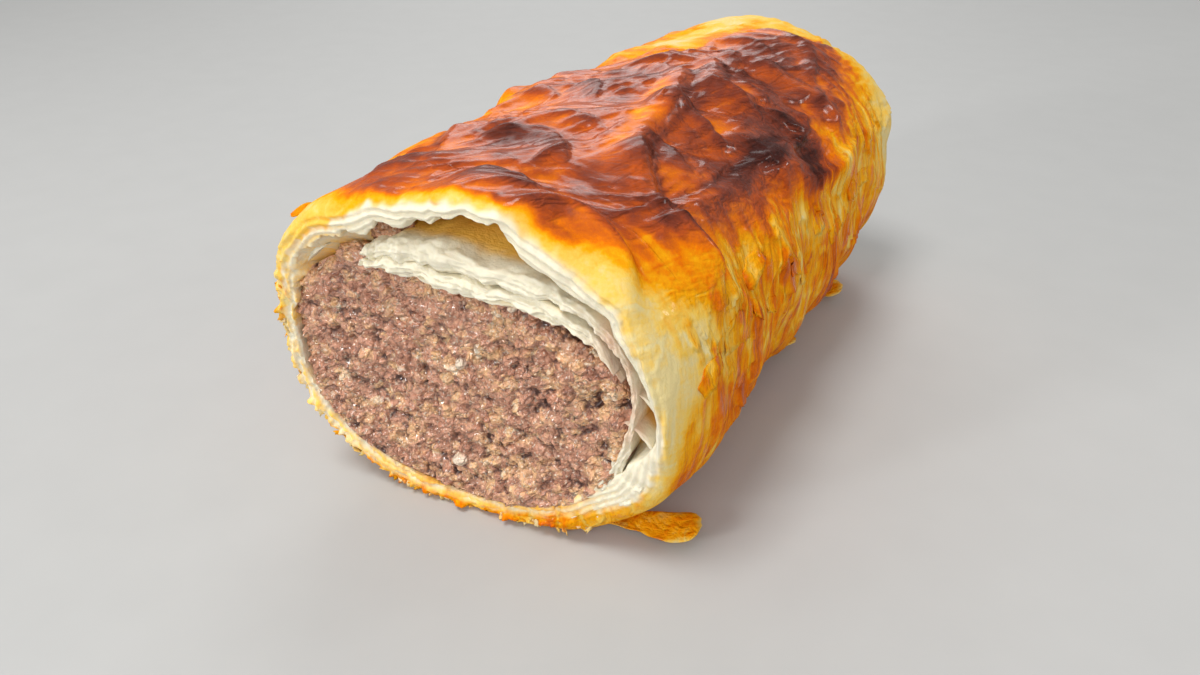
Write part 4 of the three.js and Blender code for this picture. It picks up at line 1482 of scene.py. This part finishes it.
class PASTRYROLL_OT_filling(bpy.types.Operator):
    """Makes the minced filling, which runs through the roll"""

    bl_idname = "pastryroll.filling"
    bl_label = "Filling"

    def execute(self, context):
        scene = context.scene
        whole = joined(*(mince_face(end, scene.pastryroll_sizes) for end in (-1, 1)))
        bmesh.ops.bridge_loops(whole, edges=[edge for edge in whole.edges if edge.is_boundary])
        whole = joined(whole, *(mince_lump(*lump) for lump in LUMPS))
        finished(whole, "mince", mince_finish(scene.pastryroll_colours), "filling")
        return {"FINISHED"}


class PASTRYROLL_OT_flakes(bpy.types.Operator):
    """Makes the flakes at the foot, on the flanks and on the front rim"""

    bl_idname = "pastryroll.flakes"
    bl_label = "Flakes"

    def execute(self, context):
        scene = context.scene
        sizes = scene.pastryroll_sizes
        bm = bmesh.new()
        layer = bm.verts.layers.float_color.new("bake")
        for flake in FOOT_FLAKES:
            flake_grid(bm, layer, FOOT_STEPS, foot_flake(*flake))
        for flake in SIDE_FLAKES:
            flake_grid(bm, layer, SIDE_STEPS, lifted_flake(*flake, sizes))
        for curl in RIM_CURLS:
            flake_grid(bm, layer, CURL_STEPS, rim_curl(*curl))
        flakes = finished(bm, "flakes", bpy.data.materials["egg_washed_crust"], "pastry")
        wall = flakes.modifiers.new("leaf", "SOLIDIFY")
        wall.thickness, wall.offset, wall.use_even_offset = sizes.flake_thickness, 0, False
        return {"FINISHED"}


class PASTRYROLL_OT_crumbs(bpy.types.Operator):
    """Makes the crumbs that cling to the front rim"""

    bl_idname = "pastryroll.crumbs"
    bl_label = "Crumbs"

    def execute(self, context):
        draw = random.Random(CRUMB_SEED)
        bm = bmesh.new()
        layer = bm.verts.layers.float_color.new("bake")
        for first, last, count in RIM_CRUMBS:
            for _ in range(count):
                rim_crumb(bm, layer, draw.uniform(first, last), draw)
        finished(bm, "crumbs", bpy.data.materials["egg_washed_crust"], "pastry")
        return {"FINISHED"}


class PASTRYROLL_OT_stage(bpy.types.Operator):
    """Makes the floor, the lights and the camera"""

    bl_idname = "pastryroll.stage"
    bl_label = "Stage"

    def execute(self, context):
        scene = context.scene
        stage = scene.pastryroll_stage
        bm = bmesh.new()
        bmesh.ops.create_circle(bm, cap_ends=True, segments=FLOOR_SIDES, radius=FLOOR_RADIUS)
        mesh = bpy.data.meshes.new("floor")
        bm.to_mesh(mesh)
        bm.free()
        mesh.materials.append(floor_finish(stage.floor))
        floor = bpy.data.objects.new("floor", mesh)
        scene.collection.objects.link(floor)
        for name, power, size, place in LIGHTS:
            light = bpy.data.lights.new(name, "AREA")
            light.energy, light.size = getattr(stage, power), size
            lamp = bpy.data.objects.new(name, light)
            lamp.location = place
            lamp.rotation_euler = (LIGHT_TARGET - lamp.location).to_track_quat("-Z", "Y").to_euler()
            scene.collection.objects.link(lamp)
        world = bpy.data.worlds.new("studio")
        world.use_nodes = True
        sky = world.node_tree.nodes["Background"].inputs
        sky["Color"].default_value, sky["Strength"].default_value = (1, 1, 1, 1), stage.sky
        scene.world = world
        scene.view_settings.view_transform = "Standard"
        lens = bpy.data.cameras.new("camera")
        lens.lens, lens.sensor_width, lens.clip_start = stage.lens, SENSOR_WIDTH, CLIP_START
        camera = bpy.data.objects.new("camera", lens)
        level = Euler((math.pi / 2 - stage.pitch, 0, stage.yaw)).to_matrix()
        turn = level @ Matrix.Rotation(stage.roll, 3, "Z")
        camera.matrix_world = Matrix.LocRotScale(Vector(stage.eye), turn.to_quaternion(), None)
        scene.collection.objects.link(camera)
        scene.camera = camera
        return {"FINISHED"}


class VIEW3D_PT_pastry_roll(bpy.types.Panel):
    """Sizes, colours and makers of the pastry roll"""

    bl_label = "Pastry Roll"
    bl_space_type = "VIEW_3D"
    bl_region_type = "UI"
    bl_category = "Pastry Roll"

    def draw(self, context):
        scene = context.scene
        for group in (scene.pastryroll_sizes, scene.pastryroll_colours, scene.pastryroll_stage):
            box = self.layout.box()
            for name in group.bl_rna.properties.keys():
                if name not in {"rna_type", "name"}:
                    box.prop(group, name)
        for maker in MAKERS:
            self.layout.operator(maker.bl_idname)


GROUPS = {
    "pastryroll_sizes": PastryRollSizes,
    "pastryroll_colours": PastryRollColours,
    "pastryroll_stage": PastryRollStage,
}
MAKERS = (
    PASTRYROLL_OT_crust,
    PASTRYROLL_OT_lining,
    PASTRYROLL_OT_filling,
    PASTRYROLL_OT_flakes,
    PASTRYROLL_OT_crumbs,
    PASTRYROLL_OT_stage,
)


def register():
    for cls in (*GROUPS.values(), *MAKERS, VIEW3D_PT_pastry_roll):
        bpy.utils.register_class(cls)
    for name, group in GROUPS.items():
        setattr(bpy.types.Scene, name, PointerProperty(type=group))


def unregister():
    for name in GROUPS:
        delattr(bpy.types.Scene, name)
    for cls in reversed((*GROUPS.values(), *MAKERS, VIEW3D_PT_pastry_roll)):
        bpy.utils.unregister_class(cls)


def main():
    register()
    bpy.ops.pastryroll.crust()
    bpy.ops.pastryroll.lining()
    bpy.ops.pastryroll.filling()
    bpy.ops.pastryroll.flakes()
    bpy.ops.pastryroll.crumbs()
    bpy.ops.pastryroll.stage()


if __name__ == "__main__":
    main()
